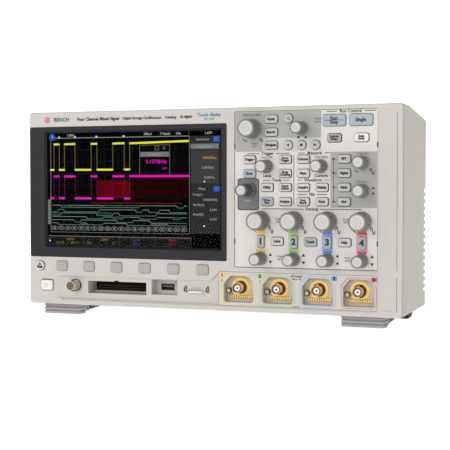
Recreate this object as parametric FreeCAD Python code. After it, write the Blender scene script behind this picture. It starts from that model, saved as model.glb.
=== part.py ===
import FreeCAD, Part
import math
import os

# Bench oscilloscope, four channels, as an assembly of separate pieces.
# Millimetres. X runs across the front, Y from the knobs to the rear, Z up.
# Origin: middle of the width and depth, on the surface that the feet stand on.

# ---- overall size -----------------------------------------------------------------
WIDTH = 381.0
HEIGHT = 204.0
DEPTH = 142.0
FOOT_HEIGHT = 11.0
KNOB_HEIGHT = 20.0

FRONT_Y = -DEPTH / 2 + KNOB_HEIGHT          # front face of the bezel
REAR_Y = DEPTH / 2
HALF_WIDTH = WIDTH / 2
GAP = 0.3                                   # assembly gap between separate mouldings

# ---- depths of the layers behind the front face -------------------------------------
BEZEL_WALL = 4.0
BEZEL_DEPTH = 4.2
BEZEL_CORNER = 2.5
BEZEL_SOFTNESS = 1.2                        # rounding of the front face's edges
SEAM_WIDTH = 2.4                            # shadow gap between the bezel and the cabinet
RIM = 3.0                                   # thickness of the bezel's side walls
TONGUE = (3.4, 1.6, 10.0)                   # inset, thickness and reach of the inner tongue
PANEL_THICKNESS = 1.6
FRAME_THICKNESS = 2.7
FRAME_PROUD = 0.3
GLASS_THICKNESS = 1.1
LCD_THICKNESS = 7.5
LCD_GAP = 0.5                                # air between the glass and the display panel
KEYBOARD_Y = FRONT_Y + 11.0                 # front face of the keyboard circuit board
BOARD_THICKNESS = 1.6
DECK_Y = FRONT_Y + 13.5
DECK_THICKNESS = 1.2
MAIN_BOARD_Y = FRONT_Y + 27.0
WALL_BACK_Y = FRONT_Y + BEZEL_WALL
CABINET_FRONT_Y = FRONT_Y + BEZEL_DEPTH + SEAM_WIDTH
CABINET_WALL = 2.5
CABINET_INSET = 0.3                         # how far the cabinet stays inside the bezel

# ---- display -------------------------------------------------------------------------
DISPLAY = (-190.0, 23.0, 58.8, 189.0)       # left, right, bottom, top of the dark frame
SCREEN = (-171.4, 16.3, 70.0, 183.0)        # visible screen
SCREEN_BEVEL = 1.8

# ---- control panel -------------------------------------------------------------------
CONTROL_PANEL = (31.5, 168.0, 53.5, 199.5)
CHANNELS = 4
CHANNEL_X0 = 57.4                           # first channel's knobs and key
CHANNEL_PITCH = 32.2
SCALE_Z = 97.5
POSITION_Z = 62.0
CHANNEL_KEY_Z = 78.0

LARGE_KNOB = dict(base=9.3, front=8.2, cap=6.1, flutes=28)
SMALL_KNOB = dict(base=6.5, front=5.7, cap=3.9, flutes=20)
FLUTE_RADIUS = 0.6
KNOB_CLEARANCE = 0.8                        # between a knob's skirt and the panel
SHAFT_RADIUS = 3.0
BUSH_RADIUS = 3.6

KNOBS = {
    "knob_horizontal_scale": (49.0, 183.3, LARGE_KNOB),
    "knob_horizontal_position": (97.0, 183.0, SMALL_KNOB),
    "knob_trigger_level": (63.4, 148.0, SMALL_KNOB),
    "knob_cursors": (115.6, 148.0, SMALL_KNOB),
    "knob_entry": (44.3, 126.0, SMALL_KNOB),
    "knob_math_scale": (154.4, 151.0, SMALL_KNOB),
    "knob_math_position": (154.4, 125.5, SMALL_KNOB),
}
for channel in range(CHANNELS):
    channel_x = CHANNEL_X0 + channel * CHANNEL_PITCH
    KNOBS["knob_scale_%d" % (channel + 1)] = (channel_x, SCALE_Z, LARGE_KNOB)
    KNOBS["knob_position_%d" % (channel + 1)] = (channel_x, POSITION_Z, SMALL_KNOB)

# ---- keys: each is (x, z), or (x, z, width, height), or (x, z, radius) ----------------
KEY_WIDTH = 11.6
KEY_HEIGHT = 7.4
KEY_PROUD = 1.3
KEY_CLEARANCE = 0.35
KEY_CORNER = 1.9
KEY_SOFTNESS = 0.5                          # rounding of a cap's front edge
KEY_FLANGE = (0.9, 0.8)                     # width and thickness of the flange behind the wall
PLUNGER_RADIUS = 2.2
KEY_TRAVEL = 1.0
COLUMN_X = (46.3, 63.6, 81.3, 98.7, 116.5, 137.3)
ROW_Z = (154.6, 141.6, 128.6, 115.5)
ROUND_KEY = 4.1
SOFTKEY_X0 = -153.8
SOFTKEY_PITCH = 30.45
SOFTKEY_Z = 49.7

KEYS = {
    "power_key": [(-170.8, 30.0, 13.0, 10.0)],
    "back_key": [(-178.5, 49.5, 4.7)],
    "softkeys": [(SOFTKEY_X0 + n * SOFTKEY_PITCH, SOFTKEY_Z, 12.3, 9.6) for n in range(6)],
    "horizontal_keys": [
        (67.5, 192.0, 12.2, 7.2), (67.5, 180.0, 12.2, 7.2), (67.5, 168.0, 12.2, 7.2),
        (84.2, 192.3, ROUND_KEY), (84.0, 167.7, ROUND_KEY),
        (97.0, 167.7, ROUND_KEY), (110.2, 167.7, ROUND_KEY),
    ],
    "run_stop_key": [(127.8, 189.8, 21.5, 10.5)],
    "single_key": [(152.8, 189.8, 21.5, 10.5)],
    "default_setup_key": [(128.0, 173.8, 12.8, KEY_HEIGHT)],
    "auto_scale_key": [(153.3, 173.8, 12.8, KEY_HEIGHT)],
    "trigger_keys": [(COLUMN_X[c], ROW_Z[r]) for r in (0, 1) for c in (0, 2)],
    "measure_keys": [(COLUMN_X[3], ROW_Z[r]) for r in (0, 1)],
    "tools_keys": [(COLUMN_X[c], ROW_Z[r]) for r in (2, 3) for c in (1, 2)],
    "waveform_keys": [(COLUMN_X[c], ROW_Z[r]) for r in (2, 3) for c in (3, 4)],
    "math_keys": [(COLUMN_X[5], z) for z in ROW_Z],
    "channel_keys": [
        (CHANNEL_X0 + n * CHANNEL_PITCH, CHANNEL_KEY_Z, 7.2, 12.0) for n in range(CHANNELS)
    ],
    "vertical_keys": [
        (CHANNEL_X0 + (n + 0.5) * CHANNEL_PITCH, CHANNEL_KEY_Z + 0.4) for n in range(CHANNELS - 1)
    ],
}

# ---- connectors in the lower front ---------------------------------------------------
RECESS_DEPTH = 2.0
RECESS = (-155.0, 14.5, 16.6, 39.5)
RECESS_SLOPE = 6.4                          # width of its slanted left wall
RECESS_STEP = 8.0                           # rise of its top edge at the right
GENERATOR = (-139.1, 30.7)
DIGITAL = (-125.5, -61.5, 23.0, 35.3)
DIGITAL_DEPTH = 21.0
DIGITAL_KEYWAY = (28.5, 34.0, 1.1)          # from its left edge, and its height
PIN_COLUMNS = 20
PIN_PITCH = 2.54
PIN_LENGTH = 8.0
USB_POCKET = (-56.0, -28.5, 24.0, 38.5)
USB_POCKET_DEPTH = 15.0
USB_PORT = (-43.6, 30.7)
USB_SIZE = (13.2, 5.4)
COMP_X = (-19.5, 3.3)
COMP_Z = (27.5, 33.5)
GROUND_LUG = (-15.0, -1.0, 27.5, 30.0)

INPUT_PANEL = (15.0, 168.0, 16.8, 48.5)
INPUT_X0 = 34.1
INPUT_PITCH = 38.7
INPUT_Z = 33.5
POCKET_DEPTH = 9.5
POCKET_WALL = 1.2
POCKET_REACH = (14.1, 15.9)                 # left and right of the jack's axis
POCKET_Z = (19.6, 45.2)
POCKET_SLANT = (6.5, 7.5)                   # the cut top left corner
POCKET_SOFT = 3.0
POCKET_ROUND = 9.0                          # the round top right corner
JACK_RADIUS = 4.8
JACK_BORE = 4.05
JACK_PROUD = 2.0
LUG_RADIUS = 0.95
LUG_PROUD = 0.75
PAD_COUNT = 10                              # gold contact pads below each jack
PAD_PITCH = 2.25
PAD_WIDTH = 1.35
PAD_OFFSET = 0.7
PAD_Z = (22.6, 26.0)
GOLD_RING_RADIUS = 9.2                      # cut off just above the pads
SENSE_OFFSET = 11.0                         # from the jack's axis, to the left
SENSE_Z = 30.2

# ---- rear ----------------------------------------------------------------------------
SLOPE_START_Y = FRONT_Y + 45.0
SLOPE_DROP = 7.8
VENT_COUNT = 15                             # slots down each upright rear corner
VENT_PITCH = 7.0
VENT_Z0 = 27.3
VENT_HEIGHT = 3.4
VENT_REACH = (4.1, 10.6)                    # inwards from the side, forwards from the rear
SIDE_INTAKE = (14, 60.0, 8.0, -8.0, 44.0)   # count, lowest Z, pitch, front and back
UNDER_INTAKE = (12, -77.0, 14.0, -20.0, 30.0)   # count, left X, pitch, front and back
INTAKE_WIDTH = 3.4
EXHAUST_RADIUS = 36.0
EXHAUST_PITCH = 6.4
EXHAUST_HEIGHT = 3.6
LOCK_SLOT = (-40.0, 80.0, 7.2, 3.2)         # x, z, length, height
BAY = (-176.0, 176.0, 17.0, 62.0)           # recessed bay for the rear connectors
BAY_DEPTH = 11.0
REAR_PANEL_THICKNESS = 1.2
FAN = (95.0, 112.0)
FAN_SIZE = 80.0
FAN_THICKNESS = 25.0
FAN_BORE = 38.0
FAN_SCREW_SPACING = 35.75                   # from the fan's axis, across and up
FAN_HUB = 14.5
FAN_PIN = 1.5
BLADE_COUNT = 7
BLADE_PITCH = 32.0                          # degrees
INLET = (-150.0, 38.0)
INLET_FLANGE = (25.0, 12.5)                 # half width, half height
INLET_BODY = (14.0, 10.0)
INLET_SOCKET = (12.0, 8.0)
INLET_PINS = ((-7.0, -1.5), (0.0, 2.0), (7.0, -1.5))
REAR_JACK_X = (70.0, 96.0)
REAR_JACK_Z = 32.0
REAR_USB_X = (122.0, 146.0)
REAR_USB_SIZE = ((13.2, 5.4), (12.0, 10.5))  # width and height
MODULE_SLOT = (-70.0, 40.0, 21.0, 57.0)
HANDLE = (-62.0, 62.0, 38.0, 165.0)         # left, right, front and floor of the hand scoop
GRIP_Y = (REAR_Y - 15.0, REAR_Y - 2.0)
GRIP_Z = (183.0, 194.0)
SCREW_XZ = [(x, z) for x in (-180.5, 180.5) for z in (69.0, 184.0)]
BOSS_RADIUS = 7.4
SCREW_HEAD = 3.9
SCREW_SHANK = 2.0

# ---- boards ----------------------------------------------------------------------------
KEYBOARD_PLATES = ((33.0, 167.0, 55.0, 196.0), (-184.0, 34.0, 43.5, 57.0), (-184.0, -160.0, 23.0, 44.5))
DECK = (184.5, 17.0, 197.0)                 # half width, low and high edge
DECK_RIM = 14.0
DECK_WINDOWS = ((-140.0, -110.0, 100.0, 160.0), (-80.0, -50.0, 100.0, 160.0))
MAIN_BOARD = (-150.0, 176.0, 20.0, 150.0)
SHIELD_CAN = (18.0, 168.0, 24.0, 62.0)
SHIELD_HEIGHT = 7.0
CHIPS = ((40.0, 80.0), (100.0, 80.0), (-40.0, 80.0))
CHIP_SIZE = 27.0
CHIP_HEIGHT = 2.4
MEMORY_X = (-80.0, -68.0, -56.0)
CLOCK_CELL = (-110.0, 60.0, 10.0)           # x, z, radius
SINK_OVERHANG = 3.0
SINK_FINS = 8
POWER_BOARD_Y = 34.0
POWER_BOARD = (-175.8, -76.0, 66.0, 160.0)
TRANSFORMER = (-128.0, -96.0, 80.0, 112.0)
CAPACITOR_X = (-164.0, -142.0, -120.0)

# ---- feet ----------------------------------------------------------------------------
FRONT_FOOT_X = (-160.0, 152.5)
FRONT_FOOT_WIDTH = 42.0
FOOT_RIBS = 3
RIB_PITCH = 3.6
RIB_HEIGHT = 2.9
RIB_PROUD = 1.3
FRONT_FOOT_Y = FRONT_Y + 10.0
FOOT_PAD_LENGTH = 12.0
FOOT_LENGTH = 45.0
TILT_PIN_RADIUS = 1.5
TILT_PIN_Y = FRONT_FOOT_Y + FOOT_PAD_LENGTH + 4.0
TILT_PIN_Z = 5.6
REAR_FOOT_X = (-163.0, 163.0)
REAR_FOOT_WIDTH = 38.0
REAR_FOOT_Y = (FRONT_Y + 86.0, FRONT_Y + 112.0)


# ---- small helpers -------------------------------------------------------------------
def vec(x, y, z):
    return FreeCAD.Vector(x, y, z)


def block(x0, x1, y0, y1, z0, z1):
    return Part.makeBox(x1 - x0, y1 - y0, z1 - z0, vec(x0, y0, z0))


def rod(x, z, radius, y0, y1):
    """A cylinder along Y."""
    return Part.makeCylinder(radius, y1 - y0, vec(x, y0, z), vec(0, 1, 0))


def ring(x, z, outer, inner, y0, y1):
    return rod(x, z, outer, y0, y1).cut(rod(x, z, inner, y0 - 1, y1 + 1))


def edges_along(shape, axis, test=lambda point: True):
    """Straight edges parallel to one axis, where axis is 0, 1 or 2."""
    found = []
    for edge in shape.Edges:
        if len(edge.Vertexes) != 2:
            continue
        span = edge.Vertexes[1].Point - edge.Vertexes[0].Point
        if span.Length > 0 and abs(abs(span[axis]) / span.Length - 1) < 1e-6:
            if test(edge.CenterOfMass):
                found.append(edge)
    return found


def edges_on_y(shape, y):
    """All edges that lie in the plane at this Y."""
    box_of = [(edge, edge.BoundBox) for edge in shape.Edges]
    return [edge for edge, box in box_of if abs(box.YMin - y) < 1e-4 and abs(box.YMax - y) < 1e-4]


def slab(x0, x1, z0, z1, corner, y0, y1):
    """A rounded rectangle in X and Z, pushed along Y."""
    shape = block(x0, x1, y0, y1, z0, z1)
    if corner > 0:
        shape = shape.makeFillet(corner, edges_along(shape, 1))
    return shape


def prism(points, y0, y1):
    """A polygon of (x, z) points pushed along Y."""
    corners = [vec(x, y0, z) for x, z in points]
    face = Part.Face(Part.makePolygon(corners + corners[:1]))
    return face.extrude(vec(0, y1 - y0, 0))


def side_prism(points, x0, x1):
    """A polygon of (y, z) points pushed along X."""
    corners = [vec(x0, y, z) for y, z in points]
    face = Part.Face(Part.makePolygon(corners + corners[:1]))
    return face.extrude(vec(x1 - x0, 0, 0))


def top_prism(points, z0, z1):
    """A polygon of (x, y) points pushed along Z."""
    corners = [vec(x, y, z0) for x, y in points]
    face = Part.Face(Part.makePolygon(corners + corners[:1]))
    return face.extrude(vec(0, 0, z1 - z0))


def join(shapes):
    whole = shapes[0]
    if len(shapes) > 1:
        whole = whole.fuse(shapes[1:])
    return whole.removeSplitter()


def cut_all(shape, tools):
    return shape.cut(Part.makeCompound(tools))


def save(name, *shapes):
    solids = [solid for shape in shapes for solid in shape.Solids]
    for solid in solids:
        if not solid.isValid():
            print("NOT VALID:", name)
    whole = solids[0] if len(solids) == 1 else Part.makeCompound(solids)
    whole.exportStep("parts/%s.step" % name)
    print("%-26s %3d solids  %9.1f mm3" % (name, len(solids), whole.Volume))


# ---- keys ----------------------------------------------------------------------------
def key_outline(key, grow, y0, y1):
    """One key's outline, grown all round, as a solid between two depths."""
    if len(key) == 3:
        return rod(key[0], key[1], key[2] + grow, y0, y1)
    x, z = key[:2]
    width, height = key[2:] if len(key) == 4 else (KEY_WIDTH, KEY_HEIGHT)
    half_w, half_h = width / 2 + grow, height / 2 + grow
    return slab(x - half_w, x + half_w, z - half_h, z + half_h, KEY_CORNER + grow, y0, y1)


def make_key(key):
    """Cap with softened edges, a flange that holds it behind the wall, and a plunger."""
    cap_y = FRONT_Y - KEY_PROUD
    flange_y = WALL_BACK_Y + GAP
    cap = key_outline(key, 0.0, cap_y, flange_y + 0.4)
    cap = cap.makeFillet(KEY_SOFTNESS, edges_on_y(cap, cap_y))
    flange = key_outline(key, KEY_FLANGE[0], flange_y, flange_y + KEY_FLANGE[1])
    plunger = rod(key[0], key[1], PLUNGER_RADIUS, flange_y, KEYBOARD_Y - KEY_TRAVEL - 0.2)
    return join([cap, flange, plunger])


def key_holes(y0, y1):
    return [key_outline(key, KEY_CLEARANCE, y0, y1) for keys in KEYS.values() for key in keys]


# ---- knobs and encoders --------------------------------------------------------------
def make_knob(x, z, size):
    """A fluted skirt with a shallow dish in its cap, hollow behind, with a hub."""
    front = FRONT_Y - KNOB_HEIGHT
    back = FRONT_Y - KNOB_CLEARANCE
    skirt_lip = 2.2
    radius, nose, cap = size["base"], size["front"], size["cap"]
    outline = [
        (0, front + 0.5), (cap, front + 0.35), (cap + 0.3, front), (nose - 0.7, front),
        (nose, front + 0.7), (radius - 0.5, back - skirt_lip), (radius, back - skirt_lip + 0.4),
        (radius, back), (radius - 1.3, back), (nose - 1.6, front + 3.0), (4.4, front + 3.0),
        (4.4, back - 1.5), (SHAFT_RADIUS + 0.02, back - 1.5), (SHAFT_RADIUS + 0.02, front + 3.0),
        (0, front + 3.0),
    ]
    points = [vec(x + r, y, z) for r, y in outline]
    face = Part.Face(Part.makePolygon(points + points[:1]))
    knob = face.revolve(vec(x, 0, z), vec(0, 1, 0), 360)
    flutes = []
    for n in range(size["flutes"]):
        turn = 2 * math.pi * n / size["flutes"]
        start = vec(x + (nose + 0.25) * math.cos(turn), front - 0.5, z + (nose + 0.25) * math.sin(turn))
        reach = radius - 0.25
        end = vec(x + reach * math.cos(turn), back - skirt_lip, z + reach * math.sin(turn))
        flutes.append(Part.makeCylinder(FLUTE_RADIUS, (end - start).Length, start, end - start))
    return cut_all(knob, flutes)


def make_shaft(x, z):
    """The encoder's turning shaft, flatted where the knob grips it."""
    front = FRONT_Y - KNOB_HEIGHT + 3.2
    shaft = rod(x, z, SHAFT_RADIUS, front, KEYBOARD_Y - 3.0)
    flat = block(x - 4, x + 4, front - 1, FRONT_Y - 6.0, z + SHAFT_RADIUS - 1.0, z + SHAFT_RADIUS + 1)
    return shaft.cut(flat)


def make_encoder(x, z):
    """Encoder case with its bushing and a running hole for the shaft."""
    case = block(x - 6, x + 6, KEYBOARD_Y - 6.5, KEYBOARD_Y, z - 6, z + 6)
    bush = rod(x, z, BUSH_RADIUS, FRONT_Y + 0.4, KEYBOARD_Y - 6.0)
    bore = rod(x, z, SHAFT_RADIUS + 0.05, FRONT_Y - 1, KEYBOARD_Y - 2.6)
    return join([case, bush]).cut(bore)


def shaft_holes(y0, y1):
    return [rod(x, z, BUSH_RADIUS + 0.2, y0, y1) for x, z, size in KNOBS.values()]


# ---- front mouldings -----------------------------------------------------------------
def recess_outline(y0, y1):
    """The lower connector recess, whose top rises towards the channel inputs."""
    left, right, low, high = RECESS
    step = RECESS_STEP
    points = [(left, low), (right, low), (right, high + step), (right - step, high), (left, high)]
    shape = prism(points, y0, y1)
    shape = shape.makeFillet(2.0, edges_along(shape, 1, lambda p: p.x < left + 1))
    slope = top_prism([(left - RECESS_SLOPE, FRONT_Y), (left - RECESS_SLOPE, y0), (left + 1, y0),
                       (left + 1, y1), (left, y1)], low + 0.6, high - 0.6)
    return join([shape, slope])


def pocket(x0, x1, z0, z1, depth, wall):
    """A moulded tube behind the recess floor; returns its walls and its hollow."""
    floor_y = FRONT_Y + RECESS_DEPTH
    outer = block(x0 - wall, x1 + wall, floor_y, FRONT_Y + depth, z0 - wall, z1 + wall)
    hollow = block(x0, x1, FRONT_Y - 1, FRONT_Y + depth + 1, z0, z1)
    return outer, hollow


def make_front_bezel():
    plate = slab(-HALF_WIDTH, HALF_WIDTH, FOOT_HEIGHT, HEIGHT, BEZEL_CORNER, FRONT_Y, FRONT_Y + BEZEL_DEPTH)
    plate = plate.makeFillet(BEZEL_SOFTNESS, edges_on_y(plate, FRONT_Y))
    hollow = block(
        -HALF_WIDTH + RIM, HALF_WIDTH - RIM, WALL_BACK_Y, FRONT_Y + BEZEL_DEPTH + 1,
        FOOT_HEIGHT + RIM, HEIGHT - RIM,
    )
    shell = plate.cut(hollow)
    lip, thickness, reach = TONGUE
    inner = lip + thickness
    tongue = block(
        -HALF_WIDTH + lip, HALF_WIDTH - lip, WALL_BACK_Y - 0.5, FRONT_Y + reach,
        FOOT_HEIGHT + lip, HEIGHT - lip,
    ).cut(block(
        -HALF_WIDTH + inner, HALF_WIDTH - inner, WALL_BACK_Y - 1, FRONT_Y + reach + 1,
        FOOT_HEIGHT + inner, HEIGHT - inner,
    ))
    web = block(
        -HALF_WIDTH + 2, HALF_WIDTH - 2, WALL_BACK_Y - 0.5, WALL_BACK_Y + 0.6,
        FOOT_HEIGHT + 2, HEIGHT - 2,
    ).cut(block(
        -HALF_WIDTH + lip + 1.0, HALF_WIDTH - lip - 1.0, WALL_BACK_Y - 1, WALL_BACK_Y + 2,
        FOOT_HEIGHT + lip + 1.0, HEIGHT - lip - 1.0,
    ))
    digital_wall, digital_hollow = pocket(*DIGITAL, DIGITAL_DEPTH, 1.5)
    usb_wall, usb_hollow = pocket(*USB_POCKET, USB_POCKET_DEPTH, 1.5)
    usb_back = block(
        USB_POCKET[0] - 1, USB_POCKET[1] + 1, FRONT_Y + USB_POCKET_DEPTH - 1.2,
        FRONT_Y + USB_POCKET_DEPTH, USB_POCKET[2] - 1, USB_POCKET[3] + 1,
    )
    shell = join([shell, tongue, web, digital_wall, usb_wall])

    left, right, low, high = DISPLAY
    tools = [
        slab(left - 2, right + GAP, low - GAP, high + GAP, 1.5, FRONT_Y - 2,
             FRONT_Y - FRAME_PROUD + FRAME_THICKNESS),
        slab(left + 9.5, right - 1.5, low + 3.0, high - 1.5, 2.0, FRONT_Y, FRONT_Y + 12),
    ]
    left, right, low, high = CONTROL_PANEL
    tools.append(slab(left - GAP, right + GAP, low - GAP, high + GAP, 1.8, FRONT_Y - 1,
                      FRONT_Y + PANEL_THICKNESS))
    left, right, low, high = INPUT_PANEL
    tools.append(slab(left - GAP, right + GAP, low - GAP, high + GAP, 1.0, FRONT_Y - 1,
                      FRONT_Y + PANEL_THICKNESS))
    tools.append(block(left + 1.5, right - 0.4, FRONT_Y, FRONT_Y + 12, low + 1.2, high - 1.2))
    tools.append(recess_outline(FRONT_Y - 1, FRONT_Y + RECESS_DEPTH))
    tools += [digital_hollow, usb_hollow]
    keyway_left, keyway_right, keyway_height = DIGITAL_KEYWAY
    tools.append(block(DIGITAL[0] + keyway_left, DIGITAL[0] + keyway_right, FRONT_Y - 1,
                       FRONT_Y + DIGITAL_DEPTH + 1, DIGITAL[3] - 1, DIGITAL[3] + keyway_height))
    tools.append(rod(*GENERATOR, JACK_RADIUS + 1.0, FRONT_Y, FRONT_Y + 12))
    for x in COMP_X:
        tools.append(block(x - 1.1, x + 1.1, FRONT_Y, FRONT_Y + 12, COMP_Z[0] + 0.8, COMP_Z[1] - 0.8))
    tools.append(block(GROUND_LUG[0] + 2, GROUND_LUG[1] - 2, FRONT_Y, FRONT_Y + 12,
                       GROUND_LUG[2] + 0.3, GROUND_LUG[3] - 0.3))
    tools += key_holes(FRONT_Y - 4, FRONT_Y + 8)
    tools += shaft_holes(FRONT_Y - 4, FRONT_Y + 8)
    groove_x, groove_width, groove_depth = 186.0, 0.8, 0.9
    for low, high in ((16.5, 48.0), (54.0, 196.0)):
        tools.append(block(groove_x - groove_width / 2, groove_x + groove_width / 2,
                           FRONT_Y - 1, FRONT_Y + groove_depth, low, high))
    crease_left, crease_right, crease_depth = -154.0, 168.0, 0.6
    tools.append(block(crease_left, crease_right, FRONT_Y - 1, FRONT_Y + crease_depth, 15.5, 16.1))
    scoop_radius, scoop_sag = 44.0, 0.7
    tools.append(Part.makeCylinder(scoop_radius, 182.0,
                                   vec(177.6, FRONT_Y - scoop_radius + scoop_sag, 17.0), vec(0, 0, 1)))
    bezel = cut_all(shell, tools)
    port = (USB_SIZE[0] / 2 + 0.6, USB_SIZE[1] / 2 + 0.6)
    usb_back = usb_back.cut(block(
        USB_PORT[0] - port[0], USB_PORT[0] + port[0], FRONT_Y, FRONT_Y + 20,
        USB_PORT[1] - port[1], USB_PORT[1] + port[1],
    ))
    return join([bezel, usb_back])


def make_display_frame():
    """The dark frame round the screen, with a bevelled inner edge."""
    left, right, low, high = DISPLAY
    y0 = FRONT_Y - FRAME_PROUD
    y1 = y0 + FRAME_THICKNESS
    frame = slab(left, right, low, high, 1.5, y0, y1)
    frame = frame.makeFillet(0.8, edges_on_y(frame, y0))
    bevel = SCREEN_BEVEL
    left, right, low, high = SCREEN
    front = Part.makePolygon([vec(x, y0, z) for x, z in (
        (left - bevel, low - bevel), (right + bevel, low - bevel), (right + bevel, high + bevel),
        (left - bevel, high + bevel), (left - bevel, low - bevel))])
    back = Part.makePolygon([vec(x, y1, z) for x, z in (
        (left, low), (right, low), (right, high), (left, high), (left, low))])
    return frame.cut(Part.makeLoft([front, back], True, True))


def make_touch_glass():
    left, right, low, high = DISPLAY
    y0 = FRONT_Y - FRAME_PROUD + FRAME_THICKNESS + 0.05
    return slab(left + 10, right - 2, low + 3.5, high - 2, 1.0, y0, y0 + GLASS_THICKNESS)


def make_lcd_module():
    left, right, low, high = DISPLAY
    y0 = FRONT_Y - FRAME_PROUD + FRAME_THICKNESS + GLASS_THICKNESS + LCD_GAP
    module = block(left + 10.5, right - 2.5, y0, y0 + LCD_THICKNESS, low + 4, high - 2.5)
    ribs = [block(x, x + 1.5, y0 + LCD_THICKNESS - 1, y0 + LCD_THICKNESS + 1, low + 12, high - 10)
            for x in (-150.0, -100.0, -50.0, 0.0)]
    return cut_all(module, ribs)


def make_control_panel():
    """The overlay plate that carries the legends round the keys and knobs."""
    left, right, low, high = CONTROL_PANEL
    plate = slab(left, right, low, high, 1.5, FRONT_Y, FRONT_Y + PANEL_THICKNESS)
    tools = key_holes(FRONT_Y - 1, FRONT_Y + 3) + shaft_holes(FRONT_Y - 1, FRONT_Y + 3)
    for x in (left, right):
        for z in (77.7, 167.2):
            tools.append(block(x - 0.6, x + 0.6, FRONT_Y - 1, FRONT_Y + 3, z - 2.2, z + 2.2))
    return cut_all(plate, tools)


def input_pocket(x, grow, y0, y1):
    """Outline of one input's pocket: a slanted top left corner and a round top right one."""
    left, right = x - POCKET_REACH[0] - grow, x + POCKET_REACH[1] + grow
    low, high = POCKET_Z[0] - grow, POCKET_Z[1] + grow
    across, down = POCKET_SLANT
    points = [(left, low), (right, low), (right, high), (left + across, high), (left, high - down)]
    shape = prism(points, y0, y1)
    top_right = edges_along(shape, 1, lambda p: p.x > right - 1 and p.z > high - 1)
    shape = shape.makeFillet(POCKET_ROUND + grow, top_right)
    slanted = edges_along(shape, 1, lambda p: p.x < left + across + 1 and p.z > low + 1)
    shape = shape.makeFillet(POCKET_SOFT + grow, slanted)
    return shape.makeFillet(POCKET_SOFT + grow, edges_along(shape, 1, lambda p: p.z < low + 1))


def input_positions():
    return [INPUT_X0 + n * INPUT_PITCH for n in range(CHANNELS)]


def make_input_panel():
    left, right, low, high = INPUT_PANEL
    floor_y = FRONT_Y + POCKET_DEPTH
    panel = slab(left, right, low, high, 0.8, FRONT_Y, FRONT_Y + PANEL_THICKNESS)
    cups = [input_pocket(x, POCKET_WALL, FRONT_Y, floor_y + 1.5) for x in input_positions()]
    hollows = [input_pocket(x, 0, FRONT_Y - 1, floor_y) for x in input_positions()]
    holes = [rod(x, INPUT_Z, JACK_RADIUS + 1.4, floor_y - 1, floor_y + 3) for x in input_positions()]
    pins = [rod(x - SENSE_OFFSET, SENSE_Z, 1.2, floor_y - 1, floor_y + 3) for x in input_positions()]
    return cut_all(cut_all(join([panel] + cups), hollows), holes + pins)


# ---- connectors ----------------------------------------------------------------------
def make_jack(x, z, flange_y, tip_y, tail_y):
    """A bayonet coaxial jack pointing along Y from its flange to its tip."""
    way = 1.0 if tip_y > flange_y else -1.0

    def tube(radius, start, end):
        return rod(x, z, radius, min(start, end), max(start, end))

    flange = tube(JACK_RADIUS + 1.2, flange_y, flange_y + way * 1.6)
    barrel = tube(JACK_RADIUS, flange_y, tip_y)
    tail = tube(JACK_RADIUS + 0.4, tail_y, flange_y)
    lug_y = tip_y - way * 5.0
    lug_reach = JACK_RADIUS + LUG_PROUD
    lugs = Part.makeCylinder(LUG_RADIUS, 2 * lug_reach, vec(x, lug_y, z - lug_reach), vec(0, 0, 1))
    bore = tube(JACK_BORE, tip_y - way * 8.5, tip_y + way)
    shell = join([flange, barrel, tail, lugs]).cut(bore)
    insulator = tube(2.4, tip_y - way * 9.0, tip_y - way * 2.2)
    contact = tube(0.75, tip_y - way * 2.6, tip_y - way * 1.2)
    socket = tube(0.45, tip_y - way * 6.0, tip_y)
    return join([shell, insulator, contact]).cut(socket)


def make_channel_jacks():
    flange_y = FRONT_Y + POCKET_DEPTH - 0.1
    return [make_jack(x, INPUT_Z, flange_y, FRONT_Y - JACK_PROUD, MAIN_BOARD_Y)
            for x in input_positions()]


def make_probe_contacts():
    """On each pocket's floor: a gold ring round the jack, a row of pads and a sense ring."""
    floor_y = FRONT_Y + POCKET_DEPTH
    pieces = []
    for x in input_positions():
        gold = ring(x, INPUT_Z, GOLD_RING_RADIUS, JACK_RADIUS + 1.6, floor_y - 0.8, floor_y)
        below = block(x - 20, x + 20, floor_y - 2, floor_y + 1, 0, PAD_Z[1] + 0.3)
        pieces.append(gold.cut(below))
        for n in range(PAD_COUNT):
            pad_x = x + PAD_OFFSET + (n - (PAD_COUNT - 1) / 2) * PAD_PITCH
            pad = block(pad_x - PAD_WIDTH / 2, pad_x + PAD_WIDTH / 2, floor_y - 1.2, floor_y, *PAD_Z)
            pieces.append(pad.makeFillet(0.4, edges_along(pad, 0, lambda p: p.y < floor_y - 1)))
        pieces.append(ring(x - SENSE_OFFSET, SENSE_Z, 2.0, 1.1, floor_y - 4.5, floor_y))
    return pieces


def make_digital_connector():
    """Forty-pin header: a shroud floor with two rows of pins."""
    left, right, low, high = DIGITAL
    y0 = FRONT_Y + DIGITAL_DEPTH
    body = block(left + 0.2, right - 0.2, y0 + 0.1, MAIN_BOARD_Y, low + 0.2, high - 0.2)
    pins = []
    half = 0.32
    for n in range(PIN_COLUMNS):
        x = (left + right) / 2 + (n - (PIN_COLUMNS - 1) / 2) * PIN_PITCH
        for side in (-1, 1):
            z = (low + high) / 2 + side * PIN_PITCH / 2
            pins.append(block(x - half, x + half, y0 - PIN_LENGTH, y0 + 1, z - half, z + half))
    return join([body] + pins)


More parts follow.
